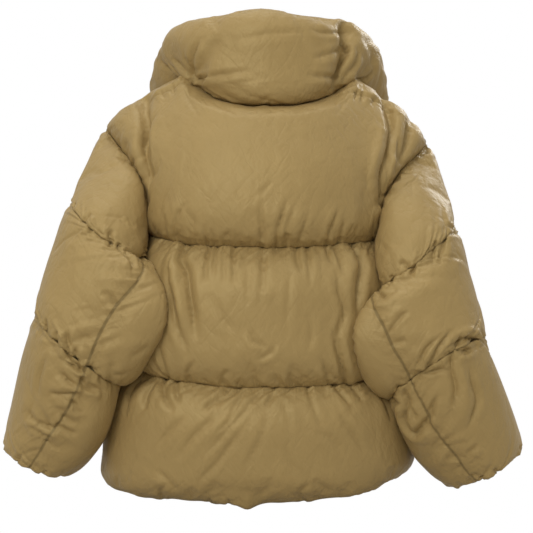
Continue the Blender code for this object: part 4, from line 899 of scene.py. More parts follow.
def doubled(points, axis, closed=False):  # a smooth grid through the given one, twice as fine
    points = np.moveaxis(points, axis, 0)
    if closed:
        before, after, far = (np.roll(points, k, axis=0) for k in (1, -1, -2))
        middle = (9 * (points + after) - before - far) / 16
        woven = np.stack([points, middle], axis=1).reshape(-1, *points.shape[1:])
    else:
        ends = np.concatenate([2 * points[:1] - points[1:2], points, 2 * points[-1:] - points[-2:-1]])
        middle = (9 * (ends[1:-2] + ends[2:-1]) - ends[:-3] - ends[3:]) / 16
        woven = np.empty((2 * len(points) - 1, *points.shape[1:]))
        woven[0::2], woven[1::2] = points, middle
    return np.moveaxis(woven, 0, axis)


def gridNormals(grid, turn):
    return turn * unit(np.cross(np.gradient(grid, axis=1), np.gradient(grid, axis=0)))


def detailed(panel, face, turn, rough=1.0):  # a face with its puckers and creases, twice as fine
    fine = doubled(doubled(face, 0), 1)
    low, high, first, last = edgeDistances(fine)
    kind = panel.name.split("_")[0]
    style = puckers.get(kind, puckers["default"])
    level = "" if panel.tube else panel.name.split("_")[-1]  # the hem and the neck edge are hardly gathered
    lift = puckerEdge(low, first, puckers["calm"] if level == "lower" else style, rough)
    lift += puckerEdge(high, first, puckers["calm"] if level == "upper" else style, rough)
    sides = puckers["underarm"] if panel.tube else style
    lift += puckerEdge(first, low, sides, rough) + puckerEdge(last, low, sides, rough)
    if panel.tube:
        lift -= groove["depth"] * np.exp(-((np.minimum(first, last) / groove["width"]) ** 2))
    inside = np.clip(np.min([low, high, first, last], axis=0) / 0.02, 0, 1)
    for spacing, height in lumps:
        lift += height * inside * softField(low, first, spacing)
    normals = gridNormals(fine, turn)
    for k, (path, depth, width, ends) in enumerate(creases.get(panel.name, ())):
        lean = 0.0 if depth < 0 else 0.65 * (-1) ** k
        lift += creaseLift(fine, normals, path, creaseDepth[panel.tube] * depth, width, ends, lean)
    return fine + normals * lift[..., None]


# ---- closing each piece: fine outer face, plainer inner face, joined round the edges

def strip(loop, tube, rows, columns, fineColumns, fineCount):  # joins a fine edge to a plain one
    made = []
    for (i, j), (k, l) in zip(loop, loop[1:]):
        a, b = 2 * i * fineColumns + 2 * j, 2 * k * fineColumns + 2 * l
        wraps = tube and abs(l - j) > 1
        middle = (i + k) * fineColumns + (2 * max(j, l) + 1 if wraps else j + l)
        p, q = fineCount + i * columns + j, fineCount + k * columns + l
        made += [(middle, a, p), (b, middle, q), (middle, p, q)]
    return made


def sewnPiece(panel, outer, inner):
    tube = panel.tube
    if tube:
        outer, inner = outer[:, :-1], inner[:, :-1]
    fineRows, fineColumns = outer.shape[:2]
    rows, columns = inner.shape[:2]
    fineCount = fineRows * fineColumns
    outside = gridQuads(fineRows, fineColumns, tube)
    inside = gridQuads(rows, columns, tube, fineCount)[:, ::-1]
    ring = list(range(columns)) + ([0] if tube else [])
    loops = [[(0, j) for j in ring], [(rows - 1, j) for j in reversed(ring)]]
    if not tube:
        loops.append([(i, columns - 1) for i in range(rows)])
        loops.append([(i, 0) for i in reversed(range(rows))])
    edges = [face for loop in loops
             for face in strip(loop, tube, rows, columns, fineColumns, fineCount)]
    polygons = outside.tolist() + inside.tolist() + edges
    if panel.turn < 0:
        polygons = [face[::-1] for face in polygons]
    points = np.vstack([outer.reshape(-1, 3), inner.reshape(-1, 3)])
    mesh = bpy.data.meshes.new(panel.name)
    mesh.from_pydata(points.tolist(), [], polygons)
    layCloth(mesh, panel, outer, inner)
    mesh.shade_smooth()
    made = bpy.data.objects.new("cloth_" + panel.name, mesh)
    scene.collection.objects.link(made)
    return made


def layCloth(mesh, panel, outer, inner):  # a UV map in metres of cloth, and the way to the seam
    coords, seamWay, sideWay = [], [], []
    for face in (outer, inner):
        low, high, first, last = edgeDistances(face)
        row = first[len(first) // 2]
        coords.append(np.stack([np.broadcast_to(row, low.shape), low], axis=-1).reshape(-1, 2))
        seamWay.append(np.minimum(low, high).ravel())
        sideWay.append(np.minimum(first, last).ravel())
    coords = np.vstack(coords)
    around = coords[:, 0].max() + (coords[1, 0] - coords[0, 0])
    vertex = np.empty(len(mesh.loops), np.int32)
    mesh.loops.foreach_get("vertex_index", vertex)
    uv = coords[vertex]
    if panel.tube:
        starts = np.empty(len(mesh.polygons), np.int32)
        totals = np.empty(len(mesh.polygons), np.int32)
        mesh.polygons.foreach_get("loop_start", starts)
        mesh.polygons.foreach_get("loop_total", totals)
        polygon = np.repeat(np.arange(len(starts)), totals)
        widest = np.zeros(len(starts))
        np.maximum.at(widest, polygon, uv[:, 0])
        far = widest[polygon] - uv[:, 0] > around / 2
        uv[far, 0] += around
    layer = mesh.uv_layers.new(name="cloth")
    layer.data.foreach_set("uv", uv.astype(np.float32).ravel())
    for name, values in (("seamWay", seamWay), ("sideWay", sideWay)):
        way = mesh.attributes.new(name, "FLOAT", "POINT")
        way.data.foreach_set("value", np.concatenate(values).astype(np.float32))


zipEdges = np.vstack([panels[name].grid[:, column] for name, column in (
    ("front_left_lower", -1), ("front_left_middle", -1), ("front_left_upper", -1), ("collar", 0),
    ("front_right_lower", -1), ("front_right_middle", -1), ("front_right_upper", -1), ("collar", -1))])


def waver(points):  # every sewn line strays a little, the same way for all the pieces at it
    flat = points.reshape(-1, 3)
    toSeam = np.min(edgeDistances(points), axis=0).ravel()
    toZip = np.min([np.linalg.norm(flat - spot, axis=1) for spot in zipEdges[::3]], axis=0)
    calm = np.clip((toZip - waves["calmFrom"]) / (waves["calmTo"] - waves["calmFrom"]), 0, 1)
    moved = np.zeros_like(flat)
    for k, way in enumerate(waveWays):
        turns = flat @ way + wavePhases[k]
        moved += np.sin(turns)[:, None] * waveSides[k]
    moved *= (waves["size"] * calm * calm * (3 - 2 * calm) * np.exp(-((toSeam / waves["fade"]) ** 2)))[:, None]
    return (flat + moved).reshape(points.shape)


hemSag = dict(x=-0.029, width=0.017, drop=0.008, fade=0.028)


def sagged(points):  # the back's hem hangs lowest in one small bulge
    toHem = edgeDistances(points)[0]
    beside = (points[..., 0] - hemSag["x"]) / hemSag["width"]
    lower = points.copy()
    lower[..., 2] -= hemSag["drop"] * np.exp(-(beside**2) - (toHem / hemSag["fade"]) ** 2)
    return lower


waveWays = unit(rng.normal(size=(6, 3))) * 2 * math.pi / (waves["length"] * rng.uniform(0.6, 1.5, (6, 1)))
wavePhases = rng.uniform(0, 2 * math.pi, 6)
waveSides = unit(rng.normal(size=(6, 3)))
settled = inflate(panels)
print("stage: cloth inflated")
pieces = {}
for name, panel in panels.items():
    outerFace = waver(detailed(panel, settled[name], panel.turn))
    innerFace = waver(opened(facesOf(panel)[1], panel))
    if name == "back_lower":
        outerFace, innerFace = sagged(outerFace), sagged(innerFace)
    pieces[name] = sewnPiece(panel, outerFace, innerFace)
print("stage: pieces sewn")


# ---- the zip: a tape down each front edge, teeth, stitches, slider and pull

zipSizes = dict(tape=0.0060, tapeThick=0.0012, gap=0.0004, shy=0.0010, pitch=0.0026, stitch=0.0032,
                cutWidth=0.0125)
lean = Matrix.Rotation(zipLine["lean"], 3, "X")
top = Vector(zipLine["top"])


def zipMiddle(z):  # x of the closed zip's middle line
    rings = [bodyRings[name] for name in ("hem", "waist", "underarm")]
    levels = [row["zFront"] for row in rings] + [zipLine["top"][2]]
    return np.interp(z, levels, [row["centreX"] for row in rings] + [zipLine["top"][0]])


def zipEdge(side):  # along one front edge from the hem to the collar's corner
    collarColumn, beside = (0, 1) if side == "left" else (-1, -2)
    lines = [(panels[f"front_{side}_{level}"], -1, -2) for level in ("lower", "middle", "upper")]
    lines.append((panels["collar"], collarColumn, beside))
    keep = [slice(0, -1), slice(0, -1), slice(0, None), slice(1, None)]
    edge = np.vstack([p.grid[:, j][k] for (p, j, _), k in zip(lines, keep)])
    inside = np.vstack([p.grid[:, n][k] for (p, _, n), k in zip(lines, keep)])
    normal = unit(np.vstack([p.normals[:, j][k] for (p, j, _), k in zip(lines, keep)]))
    along = unit(np.gradient(edge, axis=0))
    away = unit(edge - inside)
    away = unit(away - along * np.sum(away * along, axis=1, keepdims=True))
    away = unit(away - normal * np.sum(away * normal, axis=1, keepdims=True))
    width = np.full(len(edge), zipSizes["tape"])
    shut = edge[:, 2] < zipLine["top"][2] + 0.001
    away[shut] = (1 if side == "left" else -1, 0, 0)
    width[shut] = np.abs(edge[shut, 0] - zipMiddle(edge[shut, 2])) - zipSizes["gap"] / 2
    return [doubled(values, 0) for values in (edge, away, normal, width[:, None])]


def zipTape(side, edge, away, normal, width):  # a woven strip with a thicker bead at its free edge
    across = np.array([2 * zipSizes["gap"] / zipSizes["tape"], 0.3, 0.55, 0.72, 0.86, 0.95, 1.0])
    thick = zipSizes["tapeThick"] * np.array([0.7, 0.75, 0.75, 0.8, 1.0, 1.0, 0.6]) / 2
    middle = edge[:, None] + away[:, None] * width[:, None] * across[:, None]
    lift = unit(normal)[:, None] * thick[:, None]
    rows, columns = middle.shape[:2]
    points = np.vstack([(middle + lift).reshape(-1, 3), (middle - lift).reshape(-1, 3)])
    front = gridQuads(rows, columns, False)
    back = gridQuads(rows, columns, False, rows * columns)[:, ::-1]
    count = rows * columns
    ring = [(0, j) for j in range(columns)] + [(i, columns - 1) for i in range(1, rows)]
    ring += [(rows - 1, j) for j in range(columns - 2, -1, -1)] + [(i, 0) for i in range(rows - 2, -1, -1)]
    loop = [i * columns + j for i, j in ring]
    rim = [(b, a, a + count, b + count) for a, b in zip(loop, loop[1:])]
    faces = front.tolist() + back.tolist() + rim
    if np.sum(np.cross(away, np.gradient(edge, axis=0)) * normal) < 0:
        faces = [face[::-1] for face in faces]
    mesh = bpy.data.meshes.new("tape_" + side)
    mesh.from_pydata(points.tolist(), [], faces)
    walked = edgeDistances(np.stack([edge, edge + away], axis=1))[0][:, :1]
    uv = np.stack([np.broadcast_to(across * zipSizes["tape"], (rows, columns)),
                   np.broadcast_to(walked, (rows, columns))], axis=-1).reshape(-1, 2)
    vertex = np.empty(len(mesh.loops), np.int32)
    mesh.loops.foreach_get("vertex_index", vertex)
    layer = mesh.uv_layers.new(name="cloth")
    layer.data.foreach_set("uv", np.vstack([uv, uv])[vertex].astype(np.float32).ravel())
    for name in ("seamWay", "sideWay"):
        way = mesh.attributes.new(name, "FLOAT", "POINT")
        way.data.foreach_set("value", np.full(2 * count, 0.5, np.float32))
    mesh.shade_smooth()
    made = bpy.data.objects.new(mesh.name, mesh)
    scene.collection.objects.link(made)
    return made, float(walked[-1, 0])


def solidFrom(name, shapes, soften, segments=2):  # boxes and cylinders joined, with eased edges
    made = []
    for kind, centre, size in shapes:
        shaped = bmesh.new()
        if kind == "box":
            bmesh.ops.create_cube(shaped, size=1)
            bmesh.ops.scale(shaped, vec=Vector(size), verts=shaped.verts)
        else:
            bmesh.ops.create_cone(shaped, cap_ends=True, segments=32, radius1=size[0] / 2,
                                  radius2=size[0] / 2, depth=size[1])
            bmesh.ops.rotate(shaped, matrix=Matrix.Rotation(math.pi / 2, 3, "X"), verts=shaped.verts)
        bmesh.ops.translate(shaped, vec=Vector(centre), verts=shaped.verts)
        mesh = bpy.data.meshes.new(name)
        shaped.to_mesh(mesh)
        shaped.free()
        made.append(bpy.data.objects.new(name, mesh))
        scene.collection.objects.link(made[-1])
    for other in made[1:]:
        join = made[0].modifiers.new("join", "BOOLEAN")
        join.operation, join.solver, join.object = "UNION", "EXACT", other
    ease = made[0].modifiers.new("ease", "BEVEL")
    ease.width, ease.segments, ease.limit_method = soften, segments, "ANGLE"
    graph = bpy.context.evaluated_depsgraph_get()
    mesh = bpy.data.meshes.new_from_object(made[0].evaluated_get(graph))
    for old in made:
        bpy.data.objects.remove(old)
    mesh.shade_smooth()
    return mesh


def repeatTree():  # instances one piece along a path, its back set to the path's "facing"
    tree = bpy.data.node_groups.new("repeatAlong", "GeometryNodeTree")
    tree.interface.new_socket(name="Path", in_out="INPUT", socket_type="NodeSocketGeometry")
    tree.interface.new_socket(name="Pitch", in_out="INPUT", socket_type="NodeSocketFloat")
    tree.interface.new_socket(name="Piece", in_out="INPUT", socket_type="NodeSocketObject")
    tree.interface.new_socket(name="Finish", in_out="INPUT", socket_type="NodeSocketMaterial")
    tree.interface.new_socket(name="Row", in_out="OUTPUT", socket_type="NodeSocketGeometry")
    add, join = tree.nodes.new, tree.links.new
    given, out = add("NodeGroupInput"), add("NodeGroupOutput")
    curve, spaced = add("GeometryNodeMeshToCurve"), add("GeometryNodeResampleCurve")
    spaced.mode = "LENGTH"
    facing, tangent = add("GeometryNodeInputNamedAttribute"), add("GeometryNodeInputTangent")
    facing.data_type = "FLOAT_VECTOR"
    facing.inputs["Name"].default_value = "facing"
    upright, turned = add("FunctionNodeAlignRotationToVector"), add("FunctionNodeAlignRotationToVector")
    upright.axis = "Z"
    turned.axis, turned.pivot_axis = "Y", "Z"
    piece, rowOf = add("GeometryNodeObjectInfo"), add("GeometryNodeInstanceOnPoints")
    real, finish = add("GeometryNodeRealizeInstances"), add("GeometryNodeSetMaterial")
    join(given.outputs["Path"], curve.inputs["Mesh"])
    join(curve.outputs["Curve"], spaced.inputs["Curve"])
    join(given.outputs["Pitch"], spaced.inputs["Length"])
    join(facing.outputs["Attribute"], upright.inputs["Vector"])
    join(upright.outputs["Rotation"], turned.inputs["Rotation"])
    join(tangent.outputs["Tangent"], turned.inputs["Vector"])
    join(given.outputs["Piece"], piece.inputs["Object"])
    join(spaced.outputs["Curve"], rowOf.inputs["Points"])
    join(piece.outputs["Geometry"], rowOf.inputs["Instance"])
    join(turned.outputs["Rotation"], rowOf.inputs["Rotation"])
    join(rowOf.outputs["Instances"], real.inputs["Geometry"])
    join(real.outputs["Geometry"], finish.inputs["Geometry"])
    join(given.outputs["Finish"], finish.inputs["Material"])
    join(finish.outputs["Geometry"], out.inputs["Row"])
    return tree


repeatAlong = repeatTree()


def rowOf(name, points, facing, pitch, unitMesh, finish):
    mesh = bpy.data.meshes.new(name + "_path")
    mesh.from_pydata(points.tolist(), [(k, k + 1) for k in range(len(points) - 1)], [])
    up = mesh.attributes.new("facing", "FLOAT_VECTOR", "POINT")
    up.data.foreach_set("vector", facing.astype(np.float32).ravel())
    carrier = bpy.data.objects.new(mesh.name, mesh)
    one = bpy.data.objects.new(name + "_one", unitMesh)
    for made in (carrier, one):
        scene.collection.objects.link(made)
    repeat = carrier.modifiers.new("repeat", "NODES")
    repeat.node_group = repeatAlong
    sockets = {s.name: s.identifier for s in repeatAlong.interface.items_tree if s.in_out == "INPUT"}
    repeat[sockets["Pitch"]] = pitch
    repeat[sockets["Piece"]] = one
    repeat[sockets["Finish"]] = finish
    bpy.context.view_layer.update()
    graph = bpy.context.evaluated_depsgraph_get()
    rowMesh = bpy.data.meshes.new_from_object(carrier.evaluated_get(graph))
    bpy.data.objects.remove(carrier)
    bpy.data.objects.remove(one)
    bpy.data.meshes.remove(mesh)
    rowMesh.name = name
    rowMesh.shade_smooth()
    row = bpy.data.objects.new(name, rowMesh)
    scene.collection.objects.link(row)
    return row


# ---- finishes

shellFinish = dict(colour=(0.325, 0.223, 0.087, 1), roughness=0.42, sheen=0.06, specular=0.44)
tapeFinish = dict(colour=(0.23, 0.155, 0.058, 1), roughness=0.80, sheen=0.20, specular=0.25)
threadColour = (0.25, 0.17, 0.065, 1)


def newGroup(name, inputs, outputs):
    group = bpy.data.node_groups.new(name, "ShaderNodeTree")
    for socketName, kind, value in inputs:
        socket = group.interface.new_socket(name=socketName, in_out="INPUT", socket_type=kind)
        if value is not None:
            socket.default_value = value
    for socketName, kind in outputs:
        group.interface.new_socket(name=socketName, in_out="OUTPUT", socket_type=kind)
    nodes = group.nodes
    return group, nodes.new("NodeGroupInput"), nodes.new("NodeGroupOutput")


def mathNode(tree, operation, first, second=None, third=None):
    node = tree.nodes.new("ShaderNodeMath")
    node.operation = operation
    for socket, value in zip(node.inputs, (first, second, third)):
        if value is None:
            continue
        if isinstance(value, (int, float)):
            socket.default_value = value
        else:
            tree.links.new(value, socket)
    return node.outputs[0]


def noiseNode(tree, vector, scale, detail=3.0, distortion=0.0):
    node = tree.nodes.new("ShaderNodeTexNoise")
    node.inputs["Scale"].default_value = scale
    node.inputs["Detail"].default_value = detail
    node.inputs["Distortion"].default_value = distortion
    tree.links.new(vector, node.inputs["Vector"])
    return node.outputs["Fac"]


def creasedNoise(tree, place, size, distortion, turn=0.0):  # sharp-bottomed creases, 0 in them to 1
    mapping = tree.nodes.new("ShaderNodeMapping")
    mapping.vector_type = "TEXTURE"
    mapping.inputs["Scale"].default_value = size
    mapping.inputs["Rotation"].default_value = (0.0, turn, 0.0)
    tree.links.new(place, mapping.inputs["Vector"])
    noise = noiseNode(tree, mapping.outputs[0], 1.0, 3.0, distortion)
    middle = mathNode(tree, "ABSOLUTE", mathNode(tree, "SUBTRACT", noise, 0.5))
    return mathNode(tree, "POWER", mathNode(tree, "MULTIPLY", middle, 2.0), 0.6)


def wovenGroup():  # close-woven cloth: uneven tone, painted shade along the seams, crinkles and threads
    group, given, out = newGroup(
        "wovenCloth",
        [("Cloth Place", "NodeSocketVector", None), ("Body Place", "NodeSocketVector", None),
         ("Seam Way", "NodeSocketFloat", 0.5), ("Side Way", "NodeSocketFloat", 0.5),
         ("Colour", "NodeSocketColor", (0.5, 0.5, 0.5, 1)),
         ("Roughness", "NodeSocketFloat", 0.5), ("Threads per Metre", "NodeSocketFloat", 1600.0),
         ("Crinkle", "NodeSocketFloat", 1.0)],
        [("Colour", "NodeSocketColor"), ("Roughness", "NodeSocketFloat"), ("Height", "NodeSocketFloat")])
    cloth, body = given.outputs["Cloth Place"], given.outputs["Body Place"]
    broad = noiseNode(group, body, 7.0, 2.0)
    patchy = noiseNode(group, body, 38.0, 4.0)
    tone = mathNode(group, "MULTIPLY_ADD", broad, 0.16, 0.92)
    tone = mathNode(group, "MULTIPLY", tone, mathNode(group, "MULTIPLY_ADD", patchy, 0.10, 0.95))
    # painted shade: the colour darkens by up to 35% within about a millimetre of every seam, standing in for the
    # shadow in the seam's crease
    nearest = mathNode(group, "MINIMUM", given.outputs["Seam Way"], given.outputs["Side Way"])
    beside = mathNode(group, "POWER", mathNode(group, "MULTIPLY", nearest, 1 / 0.0010), 2.0)
    shade = mathNode(group, "POWER", math.e, mathNode(group, "MULTIPLY", beside, -1.0))
    tone = mathNode(group, "MULTIPLY", tone, mathNode(group, "MULTIPLY_ADD", shade, -0.35, 1.0))
    scaled = group.nodes.new("ShaderNodeVectorMath")
    scaled.operation = "SCALE"
    group.links.new(given.outputs["Colour"], scaled.inputs[0])
    group.links.new(tone, scaled.inputs["Scale"])
    crinkle = mathNode(group, "MULTIPLY", creasedNoise(group, body, (0.033, 0.033, 0.059), 0.55), 0.7)
    for turn in (-0.60, 0.55):
        slanting = creasedNoise(group, body, (0.026, 0.026, 0.105), 0.25, turn)
        crinkle = mathNode(group, "MULTIPLY_ADD", slanting, 1.15, crinkle)
    crinkle = mathNode(group, "MULTIPLY_ADD", noiseNode(group, body, 85.0, 5.0, 0.6), 0.35, crinkle)
    for end, size in (("Seam Way", (0.0105, 0.0625, 1.0)), ("Side Way", (0.0625, 0.0105, 1.0))):
        far = mathNode(group, "MULTIPLY", given.outputs[end], -1 / 0.020)
        fade = mathNode(group, "POWER", math.e, far)
        gathers = creasedNoise(group, cloth, size, 0.35)
        crinkle = mathNode(group, "MULTIPLY_ADD", gathers, mathNode(group, "MULTIPLY", fade, 1.3), crinkle)
    crinkle = mathNode(group, "MULTIPLY", crinkle, given.outputs["Crinkle"])
    parts = group.nodes.new("ShaderNodeSeparateXYZ")
    group.links.new(cloth, parts.inputs[0])
    turns = mathNode(group, "MULTIPLY", given.outputs["Threads per Metre"], math.pi)
    warp = mathNode(group, "SINE", mathNode(group, "MULTIPLY", parts.outputs[0], turns))
    weft = mathNode(group, "SINE", mathNode(group, "MULTIPLY", parts.outputs[1], turns))
    threads = mathNode(group, "MULTIPLY", mathNode(group, "MULTIPLY", warp, weft), 0.035)
    group.links.new(scaled.outputs[0], out.inputs["Colour"])
    group.links.new(mathNode(group, "MULTIPLY_ADD", patchy, 0.08,
                             mathNode(group, "SUBTRACT", given.outputs["Roughness"], 0.04)),
                    out.inputs["Roughness"])
    group.links.new(mathNode(group, "ADD", crinkle, threads), out.inputs["Height"])
    return group


woven = wovenGroup()


def clothMaterial(name, finish, threads=1600.0, crinkle=1.0, bump=0.62):
    made = bpy.data.materials.new(name)
    made.use_nodes = True
    tree = made.node_tree
    shader = tree.nodes["Principled BSDF"]
    shader.inputs["Sheen Weight"].default_value = finish["sheen"]
    shader.inputs["Sheen Roughness"].default_value = 0.45
    shader.inputs["Sheen Tint"].default_value = (1.0, 0.82, 0.55, 1)
    shader.inputs["Specular IOR Level"].default_value = finish["specular"]
    shader.inputs["Specular Tint"].default_value = (1.0, 0.86, 0.48, 1)
    group = tree.nodes.new("ShaderNodeGroup")
    group.node_tree = woven
    group.inputs["Colour"].default_value = finish["colour"]
    group.inputs["Roughness"].default_value = finish["roughness"]
    group.inputs["Threads per Metre"].default_value = threads
    group.inputs["Crinkle"].default_value = crinkle
    uv = tree.nodes.new("ShaderNodeUVMap")
    uv.uv_map = "cloth"
    place = tree.nodes.new("ShaderNodeTexCoord")
    lump = tree.nodes.new("ShaderNodeBump")
    lump.inputs["Strength"].default_value = bump
    lump.inputs["Distance"].default_value = 0.0015
    tree.links.new(uv.outputs["UV"], group.inputs["Cloth Place"])
    tree.links.new(place.outputs["Object"], group.inputs["Body Place"])
    for name, socket in (("seamWay", "Seam Way"), ("sideWay", "Side Way")):
        way = tree.nodes.new("ShaderNodeAttribute")
        way.attribute_name = name
        tree.links.new(way.outputs["Fac"], group.inputs[socket])
    tree.links.new(group.outputs["Colour"], shader.inputs["Base Color"])
    tree.links.new(group.outputs["Roughness"], shader.inputs["Roughness"])
    tree.links.new(group.outputs["Height"], lump.inputs["Height"])
    tree.links.new(lump.outputs["Normal"], shader.inputs["Normal"])
    return made


shellCloth = clothMaterial("khakiShell", shellFinish)
for name, piece in pieces.items():
    piece.data.materials.append(shellCloth)
    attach(piece, "jacket")
    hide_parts(name)
print("stage: cloth finished")


# ---- finishes of the zip, and its pieces in place

metalFinish = dict(colour=(0.42, 0.38, 0.30, 1), roughness=0.34)
sliderSizes = dict(width=0.0106, tall=0.0110, plate=0.0013, mouth=0.0026, post=0.0010, bar=0.0012,
                   bridge=0.0040)
pullSizes = dict(bar=0.0011, eyeWide=0.0034, eyeTall=0.0078, width=0.0068, length=0.0300)


def metalMaterial(name, finish):
    made = bpy.data.materials.new(name)
    made.use_nodes = True
    tree = made.node_tree
    shader = tree.nodes["Principled BSDF"]
    shader.inputs["Base Color"].default_value = finish["colour"]
    shader.inputs["Metallic"].default_value = 1.0
    place = tree.nodes.new("ShaderNodeTexCoord")
    worn = noiseNode(tree, place.outputs["Object"], 900.0, 3.0)
    rough = mathNode(tree, "MULTIPLY_ADD", worn, 0.16, finish["roughness"] - 0.08)
    tree.links.new(rough, shader.inputs["Roughness"])
    lump = tree.nodes.new("ShaderNodeBump")
    lump.inputs["Strength"].default_value = 0.08
    lump.inputs["Distance"].default_value = 0.0002
    tree.links.new(worn, lump.inputs["Height"])
    tree.links.new(lump.outputs["Normal"], shader.inputs["Normal"])
    return made


def threadMaterial(name, colour):
    made = bpy.data.materials.new(name)
    made.use_nodes = True
    tree = made.node_tree
    shader = tree.nodes["Principled BSDF"]
    shader.inputs["Base Color"].default_value = colour
    shader.inputs["Roughness"].default_value = 0.7
    place = tree.nodes.new("ShaderNodeTexCoord")
    lump = tree.nodes.new("ShaderNodeBump")
    lump.inputs["Strength"].default_value = 0.3
    lump.inputs["Distance"].default_value = 0.0002
    tree.links.new(noiseNode(tree, place.outputs["Object"], 2500.0, 2.0), lump.inputs["Height"])
    tree.links.new(lump.outputs["Normal"], shader.inputs["Normal"])
    return made


tapeCloth = clothMaterial("zipTapeCloth", tapeFinish, threads=1000.0, crinkle=0.15, bump=0.30)
metal = metalMaterial("zipMetal", metalFinish)
thread = threadMaterial("sewingThread", threadColour)


def toothMesh(side):
    mesh = solidFrom("tooth_" + side, [("box", (-0.0008, 0, 0), (0.0018, 0.0015, 0.0023)),
                                       ("box", (0.0008, 0, 0), (0.0021, 0.0010, 0.0015))],
                     0.0002, 1)
    if side == "left":
        mesh.transform(Matrix.Diagonal((-1, 1, 1, 1)))
        mesh.flip_normals()
    return mesh


def startedAt(offset, *lines):  # the lines from some way along the first of them
    walked = np.concatenate([[0], np.cumsum(np.linalg.norm(np.diff(lines[0], axis=0), axis=1))])
    wanted = np.linspace(offset, walked[-1] - 0.001, len(walked))
    return [np.stack([np.interp(wanted, walked, line[:, k]) for k in range(3)], axis=1)
            for line in lines]


stitchMesh = solidFrom("stitch", [("box", (0, 0, 0), (0.0005, 0.0023, 0.0005))], 0.00018, 2)
for side in ("left", "right"):
    edge, away, normal, width = zipEdge(side)
    away, normal = unit(away), unit(normal)
    width = width - zipSizes["shy"]
    tape, length = zipTape(side, edge, away, normal, width)
    tape.data.materials.append(tapeCloth)
    toothPath, toothFacing = startedAt(zipSizes["pitch"] * (0.5 if side == "left" else 1.0),
                                       edge + away * (width - 0.0002), normal)
    teeth = rowOf("teeth_" + side, toothPath, toothFacing, zipSizes["pitch"], toothMesh(side), metal)
    seamPath, seamFacing = startedAt(0.002, edge + away * 0.0017
                                     + normal * zipSizes["tapeThick"] * 0.39, normal)
    sewing = rowOf("stitches_" + side, seamPath, seamFacing, zipSizes["stitch"], stitchMesh, thread)
    for piece, slotName in ((tape, "zip_tape"), (teeth, "zip_metal"), (sewing, "zip_tape")):
        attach(piece, "jacket")
    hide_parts("zip_tape_" + side)
print("stage: zip laid")


def sliderShapes():
    s = sliderSizes
    plateY = s["mouth"] / 2 + s["plate"] / 2
    front = s["mouth"] / 2 + s["plate"]
    legZ, legY = s["tall"] / 2 - 0.0014, front + s["bridge"] / 2 - 0.0002
    shapes = [("box", (0, y, 0), (s["width"], s["plate"], s["tall"])) for y in (plateY, -plateY)]
    shapes.append(("box", (0, 0, s["tall"] / 2 - s["post"]), (s["post"], 2 * plateY, s["post"])))
    shapes += [("box", (0, legY, z), (s["bar"], s["bridge"], s["bar"])) for z in (legZ, -legZ)]
    barY = front + s["bridge"] - s["bar"] / 2 - 0.0002
    return shapes + [("box", (0, barY, 0), (s["bar"] * 0.95, s["bar"] * 0.95, 2 * legZ + s["bar"] / 2))]


def pullShapes():
    s = pullSizes
    wide, tall, bar = s["eyeWide"], s["eyeTall"], s["bar"]
    shapes = [("box", (0, 0, 0), (wide + 2 * bar, bar, bar))]
    for x in (-(wide + bar) / 2, (wide + bar) / 2):
        shapes.append(("box", (x, 0, bar / 2 - (tall + 2 * bar) / 2), (bar, bar * 0.98, tall + 2 * bar)))
    tab = s["length"] - tall
    shapes.append(("box", (0, 0, -bar / 2 - tall - tab / 2), (s["width"], bar * 1.04, tab)))
    return shapes


def inPlace(name, shapes, soften, place, body):
    mesh = solidFrom(name, shapes, soften, 3)
    mesh.transform(place)
    mesh.materials.append(metal)
    made = bpy.data.objects.new(name, mesh)
    scene.collection.objects.link(made)
    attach(made, body)
    return made


slider = inPlace("slider", sliderShapes(), 0.00025, Matrix.Translation(top) @ lean.to_4x4(), "jacket")
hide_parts("zip_slider")
axisY = sliderSizes["mouth"] / 2 + sliderSizes["plate"] + (sliderSizes["bridge"] - sliderSizes["bar"]) / 2
hinge = Matrix.Translation(top + lean @ Vector((0, axisY, 0)))
pull = inPlace("pull", pullShapes(), 0.00022, hinge, "pull_tab")
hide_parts("zip_pull")
print("stage: slider and pull placed")


# ---- stage, light and camera

studio = dict(distance=2.2, height=-0.25, lens=92.87, floorDrop=0.03)


def softBox(name, place, aim, size, power):
    light = bpy.data.lights.new(name, "AREA")
    light.shape, light.size, light.energy = "DISK", size, power
    made = bpy.data.objects.new(name, light)
    made.location = place
    made.rotation_euler = (Vector(aim) - Vector(place)).to_track_quat("-Z", "Y").to_euler()
    scene.collection.objects.link(made)


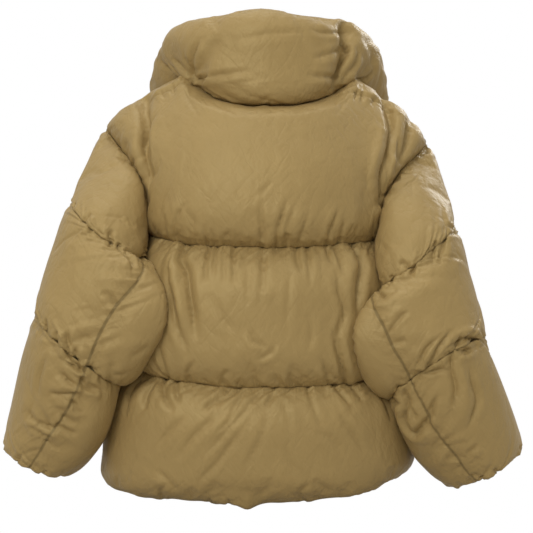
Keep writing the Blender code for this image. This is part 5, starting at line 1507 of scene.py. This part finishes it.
def setStage():
    low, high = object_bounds()
    floorMesh = bpy.data.meshes.new("floor")
    reach, level = 12.0, low[2] - studio["floorDrop"]
    corners = [(-reach, -reach, level), (reach, -reach, level), (reach, reach, level), (-reach, reach, level)]
    floorMesh.from_pydata(corners, [], [(0, 1, 2, 3)])
    floor = bpy.data.objects.new("floor", floorMesh)
    scene.collection.objects.link(floor)
    pale = bpy.data.materials.new("paleFloor")
    pale.use_nodes = True
    tree = pale.node_tree
    dull = tree.nodes["Principled BSDF"]  # what the floor sends back up to the jacket
    dull.inputs["Base Color"].default_value = (0.55, 0.53, 0.50, 1)
    dull.inputs["Roughness"].default_value = 0.9
    bright, mix = tree.nodes.new("ShaderNodeEmission"), tree.nodes.new("ShaderNodeMixShader")
    rays = tree.nodes.new("ShaderNodeLightPath")
    tree.links.new(rays.outputs["Is Camera Ray"], mix.inputs[0])
    tree.links.new(dull.outputs[0], mix.inputs[1])
    tree.links.new(bright.outputs[0], mix.inputs[2])
    tree.links.new(mix.outputs[0], tree.nodes["Material Output"].inputs["Surface"])
    floorMesh.materials.append(pale)

    world = bpy.data.worlds.new("studio")
    world.use_nodes = True
    tree = world.node_tree
    tree.nodes.clear()
    seen, cast = tree.nodes.new("ShaderNodeBackground"), tree.nodes.new("ShaderNodeBackground")
    seen.inputs["Color"].default_value = (1, 1, 1, 1)
    seen.inputs["Strength"].default_value = 1.0
    cast.inputs["Color"].default_value = (1.0, 0.99, 0.97, 1)
    way, parts = tree.nodes.new("ShaderNodeTexCoord"), tree.nodes.new("ShaderNodeSeparateXYZ")
    tree.links.new(way.outputs["Generated"], parts.inputs[0])
    above = mathNode(tree, "MULTIPLY_ADD", parts.outputs[2], 0.30, 0.52)
    tree.links.new(mathNode(tree, "MAXIMUM", above, 0.22), cast.inputs["Strength"])
    rays, mix = tree.nodes.new("ShaderNodeLightPath"), tree.nodes.new("ShaderNodeMixShader")
    out = tree.nodes.new("ShaderNodeOutputWorld")
    tree.links.new(rays.outputs["Is Camera Ray"], mix.inputs[0])
    tree.links.new(cast.outputs[0], mix.inputs[1])
    tree.links.new(seen.outputs[0], mix.inputs[2])
    tree.links.new(mix.outputs[0], out.inputs[0])
    scene.world = world

    softBox("overhead", (-0.2, -0.2, 2.5), (0, 0, -0.2), 1.6, 20)
    softBox("backKey", (-0.8, -2.0, 0.9), (0, 0, -0.30), 1.0, 20)
    softBox("frontKey", (1.5, 1.6, 1.2), (0, 0, -0.25), 1.0, 19)

    lens = bpy.data.cameras.new("camera")
    lens.lens, lens.sensor_width = studio["lens"], 36.0
    camera = bpy.data.objects.new("camera", lens)
    camera.location = (0, -studio["distance"], studio["height"])
    camera.rotation_euler = (math.pi / 2, 0, 0)
    scene.collection.objects.link(camera)
    scene.camera = camera
    scene.view_settings.view_transform = "Standard"


setStage()
print("stage: studio set")
